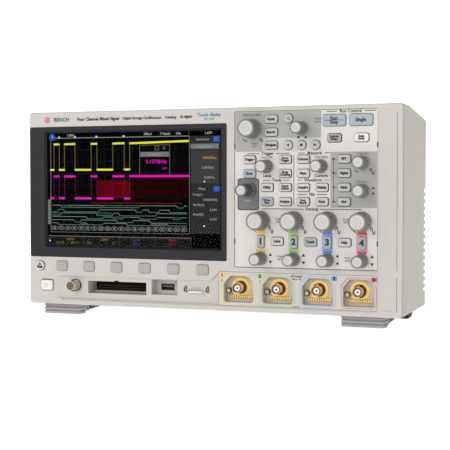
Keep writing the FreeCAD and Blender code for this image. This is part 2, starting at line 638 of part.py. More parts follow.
def make_usb_port(x, z, mouth_y, way, width, height, length):
    """A metal shell, open at the mouth, with its contact tongue."""
    y0, y1 = sorted((mouth_y, mouth_y + way * length))
    shell = block(x - width / 2, x + width / 2, y0, y1, z - height / 2, z + height / 2)
    inner = 0.45
    open0, open1 = sorted((mouth_y - way, mouth_y + way * (length - 1.0)))
    hollow = block(x - width / 2 + inner, x + width / 2 - inner, open0, open1,
                   z - height / 2 + inner, z + height / 2 - inner)
    tongue0, tongue1 = sorted((mouth_y + way * 1.0, mouth_y + way * (length - 0.5)))
    tongue = block(x - width / 2 + 1.2, x + width / 2 - 1.2, tongue0, tongue1, z + 0.2, z + 1.6)
    return join([shell.cut(hollow), tongue])


def make_usb_ports():
    front = make_usb_port(*USB_PORT, FRONT_Y + USB_POCKET_DEPTH - 1.2, 1.0, *USB_SIZE, 12.0)
    rear_mouth = REAR_Y - BAY_DEPTH + 1.5
    rear = [make_usb_port(x, REAR_JACK_Z, rear_mouth, -1.0, *size, 14.0)
            for x, size in zip(REAR_USB_X, REAR_USB_SIZE)]
    return [front] + rear


def make_comp_terminals():
    """Two wire loops for the probe compensation signal, and a ground lug between them."""
    floor_y = FRONT_Y + RECESS_DEPTH
    pieces = []
    for x in COMP_X:
        z0, z1 = COMP_Z
        loop = block(x - 0.7, x + 0.7, FRONT_Y - 2.0, floor_y + 7, z0 + 1, z1 - 1)
        hole = block(x - 2, x + 2, FRONT_Y - 0.8, floor_y - 0.4, z0 + 2.2, z1 - 2.2)
        pieces.append(loop.cut(hole))
    left, right, low, high = GROUND_LUG
    stem = block(left + 2.5, right - 2.5, FRONT_Y - 1.0, floor_y + 7, low + 0.7, high - 0.7)
    bar = block(left, right, FRONT_Y - 2.0, FRONT_Y - 0.6, low, high)
    pieces.append(join([stem, bar]))
    return pieces


def make_mains_inlet():
    """A recessed three-pin mains inlet in a flanged moulding."""
    x, z = INLET
    panel_y = REAR_Y - BAY_DEPTH
    half_w, half_h = INLET_FLANGE
    flange = slab(x - half_w, x + half_w, z - half_h, z + half_h, 3.0, panel_y, panel_y + 3.0)
    half_w, half_h = INLET_BODY
    body = block(x - half_w, x + half_w, panel_y - 17, panel_y + 1, z - half_h, z + half_h)
    half_w, half_h = INLET_SOCKET
    socket = slab(x - half_w, x + half_w, z - half_h, z + half_h, 1.5, panel_y - 15, panel_y + 4)
    pins = [block(x + dx - 1.0, x + dx + 1.0, panel_y - 16, panel_y + 1.0, z + dz - 2.0, z + dz + 2.0)
            for dx, dz in INLET_PINS]
    return join([join([flange, body]).cut(socket)] + pins)


# ---- boards and inner parts ------------------------------------------------------------
def make_keyboard_board():
    """The key and encoder board, with a strip under the display and a tab by the power key."""
    y0, y1 = KEYBOARD_Y, KEYBOARD_Y + BOARD_THICKNESS
    return join([block(left, right, y0, y1, low, high) for left, right, low, high in KEYBOARD_PLATES])


def make_deck():
    """The sheet-metal deck, with a folded rim, four posts and openings for connectors."""
    y0, y1 = DECK_Y, DECK_Y + DECK_THICKNESS
    half, low, high = DECK
    fold = DECK_THICKNESS
    sheet = block(-half, half, y0, y1, low, high)
    rim = block(-half, half, y0, y0 + DECK_RIM, low, high).cut(
        block(-half + fold, half - fold, y0 - 1, y0 + DECK_RIM + 1, low + fold, high - fold))
    posts = [rod(x, z, 4.2, y0, REAR_Y - 9.0) for x, z in SCREW_XZ]
    bores = [rod(x, z, SCREW_SHANK + 0.1, REAR_Y - 30, REAR_Y) for x, z in SCREW_XZ]
    holes = [rod(x, INPUT_Z, 7.0, y0 - 1, y1 + 1) for x in input_positions()]
    holes.append(rod(*GENERATOR, 7.0, y0 - 1, y1 + 1))
    for left, right, bottom, top in (DIGITAL, USB_POCKET):
        holes.append(block(left - 2.5, right + 2.5, y0 - 1, y1 + 1, bottom - 2.5, top + 2.5))
    for left, right, bottom, top in DECK_WINDOWS:
        holes.append(block(left, right, y0 - 1, y1 + 1, bottom, top))
    return join([sheet, rim] + posts).cut(Part.makeCompound(bores + holes))


def make_main_board():
    """The acquisition board with its shield can, processor, memory and trigger blocks."""
    y0 = MAIN_BOARD_Y
    y1 = y0 + BOARD_THICKNESS
    left, right, low, high = MAIN_BOARD
    board = block(left, right, y0, y1, low, high)
    left, right, low, high = SHIELD_CAN
    shield = block(left, right, y1, y1 + SHIELD_HEIGHT, low, high)
    chips = [block(x, x + CHIP_SIZE, y1, y1 + CHIP_HEIGHT, z, z + CHIP_SIZE) for x, z in CHIPS]
    memory = [block(x, x + 9, y1, y1 + 1.6, 90.0, 104.0) for x in MEMORY_X]
    cell = rod(*CLOCK_CELL, y1, y1 + 4.0)
    return join([board, shield, cell] + chips + memory)


def make_heat_sinks():
    """Finned heat sinks on the three large chips."""
    y0 = MAIN_BOARD_Y + BOARD_THICKNESS + CHIP_HEIGHT
    side = CHIP_SIZE + 2 * SINK_OVERHANG
    fin = 1.2
    pitch = (side - fin) / (SINK_FINS - 1)
    sinks = []
    for chip_x, chip_z in CHIPS:
        x, z = chip_x - SINK_OVERHANG, chip_z - SINK_OVERHANG
        base = block(x, x + side, y0, y0 + 2.5, z, z + side)
        fins = [block(x + pitch * n, x + pitch * n + fin, y0, y0 + 14, z, z + side)
                for n in range(SINK_FINS)]
        sinks.append(join([base] + fins))
    return sinks


def make_power_supply():
    """The power supply board with its transformer, capacitors and heat spreader."""
    y0 = POWER_BOARD_Y
    seat = y0 + 0.5
    left, right, low, high = POWER_BOARD
    board = block(left, right, y0, y0 + BOARD_THICKNESS, low, high)
    left, right, low, high = TRANSFORMER
    core = block(left, right, y0 - 30.0, seat, low, high)
    cans = [rod(x, 142.0, 8.5, y0 - 28.0, seat) for x in CAPACITOR_X]
    spreader = block(-172.0, -168.5, y0 - 40.0, seat, 72.0, 128.0)
    coil = rod(-150.0, 96.0, 11.0, y0 - 16.0, seat)
    return join([board, core, spreader, coil] + cans)


def make_fan_frame():
    x, z = FAN
    half = FAN_SIZE / 2
    y1 = REAR_Y - CABINET_WALL - 0.2
    y0 = y1 - FAN_THICKNESS
    frame = slab(x - half, x + half, z - half, z + half, 4.0, y0, y1)
    bore = rod(x, z, FAN_BORE, y0 - 1, y1 + 1)
    reach = FAN_SCREW_SPACING
    holes = [rod(x + sx * reach, z + sz * reach, 2.2, y0 - 1, y1 + 1) for sx in (-1, 1) for sz in (-1, 1)]
    frame = cut_all(frame, [bore] + holes)
    hub = rod(x, z, FAN_HUB + 0.5, y0, y0 + 3.0)
    spokes = [block(x, x + FAN_BORE + 1, y0, y0 + 2.5, z - 2, z + 2)]
    for n in range(1, 4):
        spoke = spokes[0].copy()
        spoke.rotate(vec(x, 0, z), vec(0, 1, 0), 90 * n)
        spokes.append(spoke)
    pin = rod(x, z, FAN_PIN, y0, y1 - 6.0)
    return join([frame, hub, pin] + spokes)


def make_fan_rotor():
    """A hub on the frame's pin, with seven pitched blades."""
    x, z = FAN
    y1 = REAR_Y - CABINET_WALL - 3.0
    y0 = REAR_Y - CABINET_WALL - FAN_THICKNESS + 4.0
    tip = FAN_BORE - 1.5
    hub = rod(x, z, FAN_HUB, y0, y1)
    bore = rod(x, z, FAN_PIN + 0.05, y0 - 1, y1 - 2.5)
    blades = []
    for n in range(BLADE_COUNT):
        blade = block(x + FAN_HUB - 2.5, x + tip, y0 + 8.4, y0 + 9.8, z - 11, z + 11)
        blade.rotate(vec(x, y0 + 9.1, z), vec(1, 0, 0), BLADE_PITCH)
        blade.rotate(vec(x, 0, z), vec(0, 1, 0), 360.0 / BLADE_COUNT * n)
        blades.append(blade)
    limit = rod(x, z, tip, y0, y1)
    return join([hub] + [blade.common(limit) for blade in blades]).cut(bore)


# ---- cabinet ---------------------------------------------------------------------------
def cabinet_profile(inset):
    """The cabinet's side outline, whose top slopes down towards the rear."""
    low, high = FOOT_HEIGHT + CABINET_INSET + inset, HEIGHT - CABINET_INSET - inset
    back = REAR_Y - inset
    return [(CABINET_FRONT_Y, low), (back, low), (back, high - SLOPE_DROP), (SLOPE_START_Y, high),
            (CABINET_FRONT_Y, high)]


def vent_slots():
    """Slots that wrap the upright rear corners."""
    inwards, forwards = VENT_REACH
    slots = []
    for side in (-1, 1):
        x0, x1 = sorted((side * (HALF_WIDTH + 1), side * (HALF_WIDTH - inwards)))
        for n in range(VENT_COUNT):
            z = VENT_Z0 + n * VENT_PITCH
            low, high = z - VENT_HEIGHT / 2, z + VENT_HEIGHT / 2
            slots.append(block(x0, x1, REAR_Y - forwards, REAR_Y + 1, low, high))
    return slots


def round_ended_slot(x, z, length, height, y0, y1):
    half = length / 2
    return slab(x - half, x + half, z - height / 2, z + height / 2, height / 2 - 0.05, y0, y1)


def exhaust_slots():
    """Level slots that fill a circle behind the fan."""
    slots = []
    for n in range(-5, 6):
        z = n * EXHAUST_PITCH
        length = 2 * math.sqrt(EXHAUST_RADIUS ** 2 - z ** 2)
        slots.append(round_ended_slot(FAN[0], FAN[1] + z, length, EXHAUST_HEIGHT, REAR_Y - 4, REAR_Y + 1))
    return slots


def intake_slots():
    """Slots in the left side and in the bottom, where the fan draws its air."""
    slots = []
    half = INTAKE_WIDTH / 2
    count, start, pitch, front, back = SIDE_INTAKE
    for z in [start + n * pitch for n in range(count)]:
        slots.append(block(-HALF_WIDTH - 1, -HALF_WIDTH + 4, front, back, z - half, z + half))
    count, start, pitch, front, back = UNDER_INTAKE
    for x in [start + n * pitch for n in range(count)]:
        slots.append(block(x - half, x + half, front, back, FOOT_HEIGHT - 1, FOOT_HEIGHT + 4))
    return slots


def make_rear_cabinet():
    half = HALF_WIDTH - CABINET_INSET
    outer = side_prism(cabinet_profile(0.0), -half, half)
    outer = outer.makeFillet(3.0, edges_along(outer, 2, lambda p: p.y > REAR_Y - 1))
    long_edges = edges_along(outer, 0, lambda p: p.y > REAR_Y - 1 and p.z > 100)
    outer = outer.makeFillet(2.5, long_edges)
    profile = cabinet_profile(CABINET_WALL)
    profile[0] = (CABINET_FRONT_Y - 5, profile[0][1])
    profile[-1] = (CABINET_FRONT_Y - 5, profile[-1][1])
    inner = side_prism(profile, -half + CABINET_WALL, half - CABINET_WALL)
    inner = inner.makeFillet(1.5, edges_along(inner, 2, lambda p: p.y > 0))
    shell = outer.cut(inner)

    left, right, low, high = BAY
    wall = 2.0
    bay_front = REAR_Y - BAY_DEPTH - REAR_PANEL_THICKNESS - 0.1
    bay_outer = block(left - wall, right + wall, bay_front, REAR_Y - 1, low - wall, high + wall)
    bay_hollow = block(left, right, bay_front - 1, REAR_Y + 1, low, high)
    left, right, front, floor = HANDLE
    scoop_outer = block(left - wall, right + wall, front - wall, REAR_Y - 0.5, floor - wall, HEIGHT)
    scoop_outer = scoop_outer.common(outer)
    scoop_hollow = block(left, right, front, REAR_Y + 1, floor, HEIGHT + 1)
    scoop_hollow = scoop_hollow.makeFillet(4.0, edges_along(scoop_hollow, 0, lambda p: p.y < front + 1))
    bosses = [rod(x, z, BOSS_RADIUS, REAR_Y - 8.5, REAR_Y - 1) for x, z in SCREW_XZ]
    bosses = [boss.common(outer) for boss in bosses]
    bay_outer = bay_outer.common(outer)
    shell = join([shell, bay_outer, scoop_outer] + bosses)
    tools = [bay_hollow, scoop_hollow] + vent_slots() + exhaust_slots() + intake_slots()
    for x, z in SCREW_XZ:
        tools.append(rod(x, z, SCREW_SHANK + 0.2, REAR_Y - 12, REAR_Y + 1))
        tools.append(rod(x, z, SCREW_HEAD + 0.5, REAR_Y - 4.0, REAR_Y + 1))
    tools.append(round_ended_slot(*LOCK_SLOT, REAR_Y - 4, REAR_Y + 1))
    return cut_all(shell, tools)


def make_rear_panel():
    """The metal plate at the back of the rear bay, pierced for its connectors."""
    left, right, low, high = BAY
    y1 = REAR_Y - BAY_DEPTH
    y0 = y1 - REAR_PANEL_THICKNESS
    plate = block(left + 0.2, right - 0.2, y0, y1, low + 0.2, high - 0.2)
    tools = [rod(x, REAR_JACK_Z, JACK_RADIUS + 0.6, y0 - 1, y1 + 1) for x in REAR_JACK_X]
    windows = [(x, REAR_JACK_Z, width / 2, height / 2)
               for x, (width, height) in zip(REAR_USB_X, REAR_USB_SIZE)]
    windows.append((*INLET, *INLET_BODY))
    for x, z, half_w, half_h in windows:
        half_w, half_h = half_w + GAP, half_h + GAP
        tools.append(block(x - half_w, x + half_w, y0 - 1, y1 + 1, z - half_h, z + half_h))
    left, right, low, high = MODULE_SLOT
    tools.append(block(left + 4, right - 4, y0 - 1, y1 + 1, low + 3, high - 3))
    return cut_all(plate, tools)


def make_module_cover():
    """The blanking cover of the interface module slot, with two thumbscrews."""
    left, right, low, high = MODULE_SLOT
    y0 = REAR_Y - BAY_DEPTH
    cover = slab(left, right, low, high, 2.0, y0, y0 + 1.5)
    middle = (low + high) / 2
    knobs = [rod(x, middle, 4.0, y0 + 1.0, y0 + 8.0) for x in (left + 8, right - 8)]
    slots = [block(x - 5, x + 5, y0 + 7.0, y0 + 9, middle - 0.6, middle + 0.6) for x in (left + 8, right - 8)]
    return join([cover] + knobs).cut(Part.makeCompound(slots))


def make_auxiliary_jacks():
    rear_flange = REAR_Y - BAY_DEPTH + 0.1
    rear = [make_jack(x, REAR_JACK_Z, rear_flange, REAR_Y - 1.0, REAR_Y - BAY_DEPTH - 12)
            for x in REAR_JACK_X]
    front = make_jack(*GENERATOR, FRONT_Y + RECESS_DEPTH, FRONT_Y - 10.0, MAIN_BOARD_Y)
    return [front] + rear


def make_handle_grip():
    """The bar across the hand scoop, rounded for the fingers."""
    left, right, front, floor = HANDLE
    grip = block(left + 0.1, right - 0.1, *GRIP_Y, *GRIP_Z)
    return grip.makeFillet(4.0, edges_along(grip, 0))


def make_screw(x, z):
    head = rod(x, z, SCREW_HEAD, REAR_Y - 3.95, REAR_Y - 1.4)
    shank = rod(x, z, SCREW_SHANK, REAR_Y - 20, REAR_Y - 3.5)
    drive = Part.makePolygon([vec(x + 1.7 * math.cos(n * math.pi / 3), REAR_Y - 2.9,
                                  z + 1.7 * math.sin(n * math.pi / 3)) for n in range(7)])
    return join([head, shank]).cut(Part.Face(drive).extrude(vec(0, 3, 0)))


# ---- feet ------------------------------------------------------------------------------
def make_front_foot(x):
    """A pad of stacked ribs in front, and a cover behind it under which the tilt tab folds."""
    half = FRONT_FOOT_WIDTH / 2
    top = FOOT_HEIGHT + 0.25
    y0, y1 = FRONT_FOOT_Y, FRONT_FOOT_Y + FOOT_PAD_LENGTH
    core = block(x - half + RIB_PROUD, x + half - RIB_PROUD, y0 + RIB_PROUD, y1, 0.5, top)
    pad = [core.makeFillet(3.0, edges_along(core, 2, lambda p: p.y < y1 - 1))]
    for n in range(FOOT_RIBS):
        rib = block(x - half, x + half, y0, y1, n * RIB_PITCH, n * RIB_PITCH + RIB_HEIGHT)
        rib = rib.makeFillet(4.0, edges_along(rib, 2, lambda p: p.y < y1 - 1))
        level = [edge for edge in rib.Edges
                 if edge.BoundBox.ZLength < 1e-4 and edge.CenterOfMass.y < y1 - 0.5]
        pad.append(rib.makeFillet(0.9, level))
    cover = block(x - half, x + half, y1 - 1, FRONT_FOOT_Y + FOOT_LENGTH, top - 2.6, top)
    ears = [block(x + s - 1.6, x + s + 1.6, y1 - 1, TILT_PIN_Y + 3.4, 2.4, top)
            for s in (-half + 1.6, half - 1.6)]
    foot = join(pad + [cover] + ears)
    pin_hole = Part.makeCylinder(TILT_PIN_RADIUS + 0.05, 2 * half + 2,
                                 vec(x - half - 1, TILT_PIN_Y, TILT_PIN_Z), vec(1, 0, 0))
    return foot.cut(pin_hole)


def make_tilt_foot(x):
    """The tab that folds down from behind the pad to raise the front."""
    half = FRONT_FOOT_WIDTH / 2
    inner = half - 3.2 - GAP
    reach = FOOT_LENGTH - FOOT_PAD_LENGTH - 4.5
    barrel = Part.makeCylinder(2.6, 2 * inner, vec(x - inner, TILT_PIN_Y, TILT_PIN_Z), vec(1, 0, 0))
    arm = side_prism([
        (TILT_PIN_Y, TILT_PIN_Z - 2.6), (TILT_PIN_Y + reach, TILT_PIN_Z - 1.6),
        (TILT_PIN_Y + reach, TILT_PIN_Z + 2.0), (TILT_PIN_Y, TILT_PIN_Z + 2.0),
    ], x - inner, x + inner)
    wide = side_prism([
        (TILT_PIN_Y + 5.4, TILT_PIN_Z - 2.4), (TILT_PIN_Y + reach, TILT_PIN_Z - 1.6),
        (TILT_PIN_Y + reach, TILT_PIN_Z + 2.0), (TILT_PIN_Y + 5.4, TILT_PIN_Z + 2.0),
    ], x - half, x + half)
    pin = Part.makeCylinder(TILT_PIN_RADIUS, 2 * half, vec(x - half, TILT_PIN_Y, TILT_PIN_Z), vec(1, 0, 0))
    return join([barrel, arm, wide, pin])


def make_rear_foot(x):
    """A rubber block that narrows towards the ground."""
    y0, y1 = REAR_FOOT_Y
    half = REAR_FOOT_WIDTH / 2
    top = FOOT_HEIGHT + 0.25

    def outline(inset, z):
        return Part.makePolygon([vec(px, py, z) for px, py in (
            (x - half + inset, y0 + inset), (x + half - inset, y0 + inset),
            (x + half - inset, y1 - inset), (x - half + inset, y1 - inset),
            (x - half + inset, y0 + inset))])

    foot = Part.makeLoft([outline(3.5, 0.0), outline(0.0, top)], True, True)
    return foot.makeFillet(1.2, edges_along(foot, 0, lambda p: p.z < 1))


# ---- build -----------------------------------------------------------------------------
def build():
    os.makedirs("parts", exist_ok=True)
    save("front_bezel", make_front_bezel())
    save("display_frame", make_display_frame())
    save("touch_glass", make_touch_glass())
    save("lcd_module", make_lcd_module())
    save("control_panel", make_control_panel())
    save("input_panel", make_input_panel())
    save("keyboard_board", make_keyboard_board())
    save("rotary_encoders", *[make_encoder(x, z) for x, z, size in KNOBS.values()])
    for name, keys in KEYS.items():
        save(name, *[make_key(key) for key in keys])
    for name, (x, z, size) in KNOBS.items():
        save(name, make_knob(x, z, size), make_shaft(x, z))
    save("channel_jacks", *make_channel_jacks())
    save("probe_contacts", *make_probe_contacts())
    save("auxiliary_jacks", *make_auxiliary_jacks())
    save("digital_connector", make_digital_connector())
    save("usb_ports", *make_usb_ports())
    save("comp_terminals", *make_comp_terminals())
    save("chassis_deck", make_deck())
    save("acquisition_board", make_main_board())
    save("heat_sinks", *make_heat_sinks())
    save("power_supply", make_power_supply())
    save("fan_frame", make_fan_frame())
    save("fan_rotor", make_fan_rotor())
    save("rear_cabinet", make_rear_cabinet())
    save("rear_panel", make_rear_panel())
    save("module_cover", make_module_cover())
    save("mains_inlet", make_mains_inlet())
    save("handle_grip", make_handle_grip())
    save("cabinet_screws", *[make_screw(x, z) for x, z in SCREW_XZ])
    save("front_feet", *[make_front_foot(x) for x in FRONT_FOOT_X])
    save("tilt_foot_left", make_tilt_foot(FRONT_FOOT_X[0]))
    save("tilt_foot_right", make_tilt_foot(FRONT_FOOT_X[1]))
    save("rear_feet", *[make_rear_foot(x) for x in REAR_FOOT_X])


build()
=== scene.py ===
import math
import random

import bmesh
import bpy
from mathutils import Matrix, Vector


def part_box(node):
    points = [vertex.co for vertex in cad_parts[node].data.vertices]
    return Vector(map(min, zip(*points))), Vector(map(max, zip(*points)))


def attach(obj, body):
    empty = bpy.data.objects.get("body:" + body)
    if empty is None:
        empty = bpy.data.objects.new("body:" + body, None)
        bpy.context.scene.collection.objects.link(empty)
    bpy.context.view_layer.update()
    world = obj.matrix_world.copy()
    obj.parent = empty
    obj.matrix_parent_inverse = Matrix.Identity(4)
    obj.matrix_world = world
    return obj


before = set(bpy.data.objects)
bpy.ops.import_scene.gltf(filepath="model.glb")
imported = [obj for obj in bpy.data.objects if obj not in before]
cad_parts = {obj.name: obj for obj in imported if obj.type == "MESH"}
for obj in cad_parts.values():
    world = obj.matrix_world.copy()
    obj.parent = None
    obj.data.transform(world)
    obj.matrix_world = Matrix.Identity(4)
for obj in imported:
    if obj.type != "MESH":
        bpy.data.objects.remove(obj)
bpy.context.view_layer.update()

MM = 0.001

# The oscilloscope's looks: camera, light, materials, then every printed, lit or moulded
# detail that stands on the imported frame. Lengths in the tables are millimetres across
# (x, to the right) and up (z, from the surface that the feet stand on), as in the frame.


def front_of(node):
    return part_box(node)[0].y / MM


def back_of(node):
    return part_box(node)[1].y / MM


PANEL_Y = front_of("control_panel")
INPUT_Y = front_of("input_panel")
SCREEN_Y = front_of("lcd_module")
PRINT = 0.06                      # thickness of printed ink and overlays
ZONE_LAYER, UPPER_ZONE_LAYER, SURROUND_LAYER, LEGEND_LAYER = 0.04, 0.06, 0.09, 0.12
KEY_ROOM = 0.05                   # between a key and the gap and painted shadow printed round it
SCREEN = (-171.4, 16.3, 70.0, 183.0)
PICTURE_SHIFT = -1.9              # the picture lies behind the glass, a little to the left
RECESS_DEPTH = 2.0                # of the shallow recess round the front connectors
SEAM = (4.3, 6.5)                 # depth of the gap between bezel and cabinet, from the front face, where the painted shade piece sits
SENSE_OFFSET, SENSE_Z = 11.0, 30.2    # an input's sense contact, left of its jack's axis and up
COLOURS = ("yellow", "green", "blue", "red")
DRIFT_SIZE = 18.0                 # size of the slow drift in colour and roughness
RELIEF_DEPTH = 0.3                # of the fine grain, as a share of its size
PIN_PITCH = 2.54                  # of the digital connector
LARGE_KNOB = 15.0                 # knobs wider than this are the large ones
UNLIT = 0.0006                    # what a lit dot of the display reflects


# ---- camera, light and floor
def add_object(name, data):
    thing = bpy.data.objects.new(name, data)
    bpy.context.scene.collection.objects.link(thing)
    return thing


def make_camera():
    """From the right of the front, a little above the middle, with a long lens."""
    turn, rise = math.radians(20.56), math.radians(2.055)
    data = bpy.data.cameras.new("camera")
    data.lens = 86.2
    data.sensor_width = 36.0
    camera = add_object("camera", data)
    camera.location = (0.3802, -1.0073, 0.1296)
    camera.rotation_euler = (math.pi / 2 - rise, 0, turn)
    bpy.context.scene.camera = camera


def area_light(name, place, aim, size, power):
    data = bpy.data.lights.new(name, "AREA")
    data.shape = "RECTANGLE"
    data.size, data.size_y = size
    data.energy = power
    light = add_object(name, data)
    light.location = place
    light.rotation_euler = (Vector(aim) - Vector(place)).to_track_quat("-Z", "Y").to_euler()


def make_lights():
    scene = bpy.context.scene
    scene.view_settings.view_transform = "Standard"
    world = bpy.data.worlds.new("studio")
    world.use_nodes = True
    put(world.node_tree.nodes["Background"], {"Color": (1, 1, 1, 1), "Strength": 0.42})
    scene.world = world
    middle = (0, 0, 0.1)
    area_light("key_softbox", (-0.8, -2.0, 0.95), middle, (1.3, 1.0), 14.5)
    area_light("front_fill", (0.8, -2.2, 0.7), middle, (1.4, 1.2), 10.5)
    area_light("right_fill", (2.2, -0.1, 0.2), middle, (1.2, 1.2), 0.5)
    area_light("back_light", (-0.5, 1.9, 1.6), middle, (1.6, 0.8), 16)


def make_floor():
    """A pale sweep: the floor runs back and curves up into the backdrop."""
    front, turn_y, radius, top, half = -2.4, 1.6, 0.8, 3.2, 3.2
    outline = [(front, 0.0), *arc(turn_y, radius, radius, -90, 90, 12), (turn_y + radius, top)]
    mesh = bpy.data.meshes.new("floor")
    verts = [(x, y, z) for y, z in outline for x in (-half, half)]
    faces = [(2 * n, 2 * n + 1, 2 * n + 3, 2 * n + 2) for n in range(len(outline) - 1)]
    mesh.from_pydata(verts, [], faces)
    mesh.polygons.foreach_set("use_smooth", [True] * len(mesh.polygons))
    floor = add_object("floor", mesh)
    paper = surface("studio_paper", (196, 196, 196), 0.8, 3.0, 0.01, 0.02)
    shader = paper.node_tree.nodes["Principled BSDF"]
    put(shader, {"Emission Color": (1, 1, 1, 1), "Emission Strength": 0.8})
    mesh.materials.append(paper)


# ---- materials
def linear(rgb):
    """Display values 0 to 255 as scene-linear colour."""
    shares = [value / 255 for value in rgb]
    return [c / 12.92 if c <= 0.04045 else ((c + 0.055) / 1.055) ** 2.4 for c in shares]


def put(node, values):
    """Sets several sockets of a node."""
    for socket, value in values.items():
        node.inputs[socket].default_value = value


def surface(name, rgb, roughness, grain, spread, bump, metallic=0.0, coat=0.0, rough_spread=0.06,
            glow=0.0, specular=0.5):
    """A procedural surface: fine grain in the relief, slow drift in colour and roughness."""
    material = bpy.data.materials.new(name)
    material.use_nodes = True
    nodes, links = material.node_tree.nodes, material.node_tree.links
    shader = nodes["Principled BSDF"]
    put(shader, {"Metallic": metallic, "Coat Weight": coat, "Specular IOR Level": specular})
    place = nodes.new("ShaderNodeTexCoord")
    drift = nodes.new("ShaderNodeTexNoise")
    put(drift, {"Scale": 1 / (DRIFT_SIZE * MM), "Detail": 3})
    links.new(place.outputs["Object"], drift.inputs["Vector"])
    tint = nodes.new("ShaderNodeMix")
    tint.data_type = "RGBA"
    put(tint, {"A": (*[c * (1 - spread) for c in linear(rgb)], 1),
               "B": (*[min(1, c * (1 + spread)) for c in linear(rgb)], 1)})
    links.new(drift.outputs["Fac"], tint.inputs["Factor"])
    if glow:
        put(shader, {"Emission Strength": glow, "Specular IOR Level": 0.0, "Base Color": (*[UNLIT] * 3, 1)})
    links.new(tint.outputs["Result"], shader.inputs["Emission Color" if glow else "Base Color"])
    rough = nodes.new("ShaderNodeMapRange")
    put(rough, {"To Min": max(0.02, roughness - rough_spread),
                "To Max": min(1.0, roughness + rough_spread)})
    links.new(drift.outputs["Fac"], rough.inputs["Value"])
    links.new(rough.outputs["Result"], shader.inputs["Roughness"])
    fine = nodes.new("ShaderNodeTexNoise")
    put(fine, {"Scale": 1 / (grain * MM), "Detail": 2})
    links.new(place.outputs["Object"], fine.inputs["Vector"])
    relief = nodes.new("ShaderNodeBump")
    put(relief, {"Strength": bump, "Distance": grain * MM * RELIEF_DEPTH})
    links.new(fine.outputs["Fac"], relief.inputs["Height"])
    links.new(relief.outputs["Normal"], shader.inputs["Normal"])
    return material


def brushed(name, rgb, roughness):
    """Metal with fine lines along one axis."""
    material = surface(name, rgb, roughness, 0.6, 0.05, 0.12, metallic=1.0)
    nodes, links = material.node_tree.nodes, material.node_tree.links
    mapping = nodes.new("ShaderNodeMapping")
    put(mapping, {"Scale": (1, 60, 60)})
    place = [n for n in nodes if n.type == "TEX_COORD"][0]
    links.new(place.outputs["Object"], mapping.inputs["Vector"])
    relief = [n for n in nodes if n.type == "BUMP"][0]
    fine = relief.inputs["Height"].links[0].from_node
    put(fine, {"Scale": 40})
    links.new(mapping.outputs["Vector"], fine.inputs["Vector"])
    return material


def clear_glass(name):
    """Touch glass: nearly flat and smooth, with the faintest smears in its gloss."""
    material = surface(name, (250, 252, 252), 0.05, 6, 0.005, 0.004, rough_spread=0.02)
    put(material.node_tree.nodes["Principled BSDF"], {"Transmission Weight": 1.0, "IOR": 1.08})
    return material


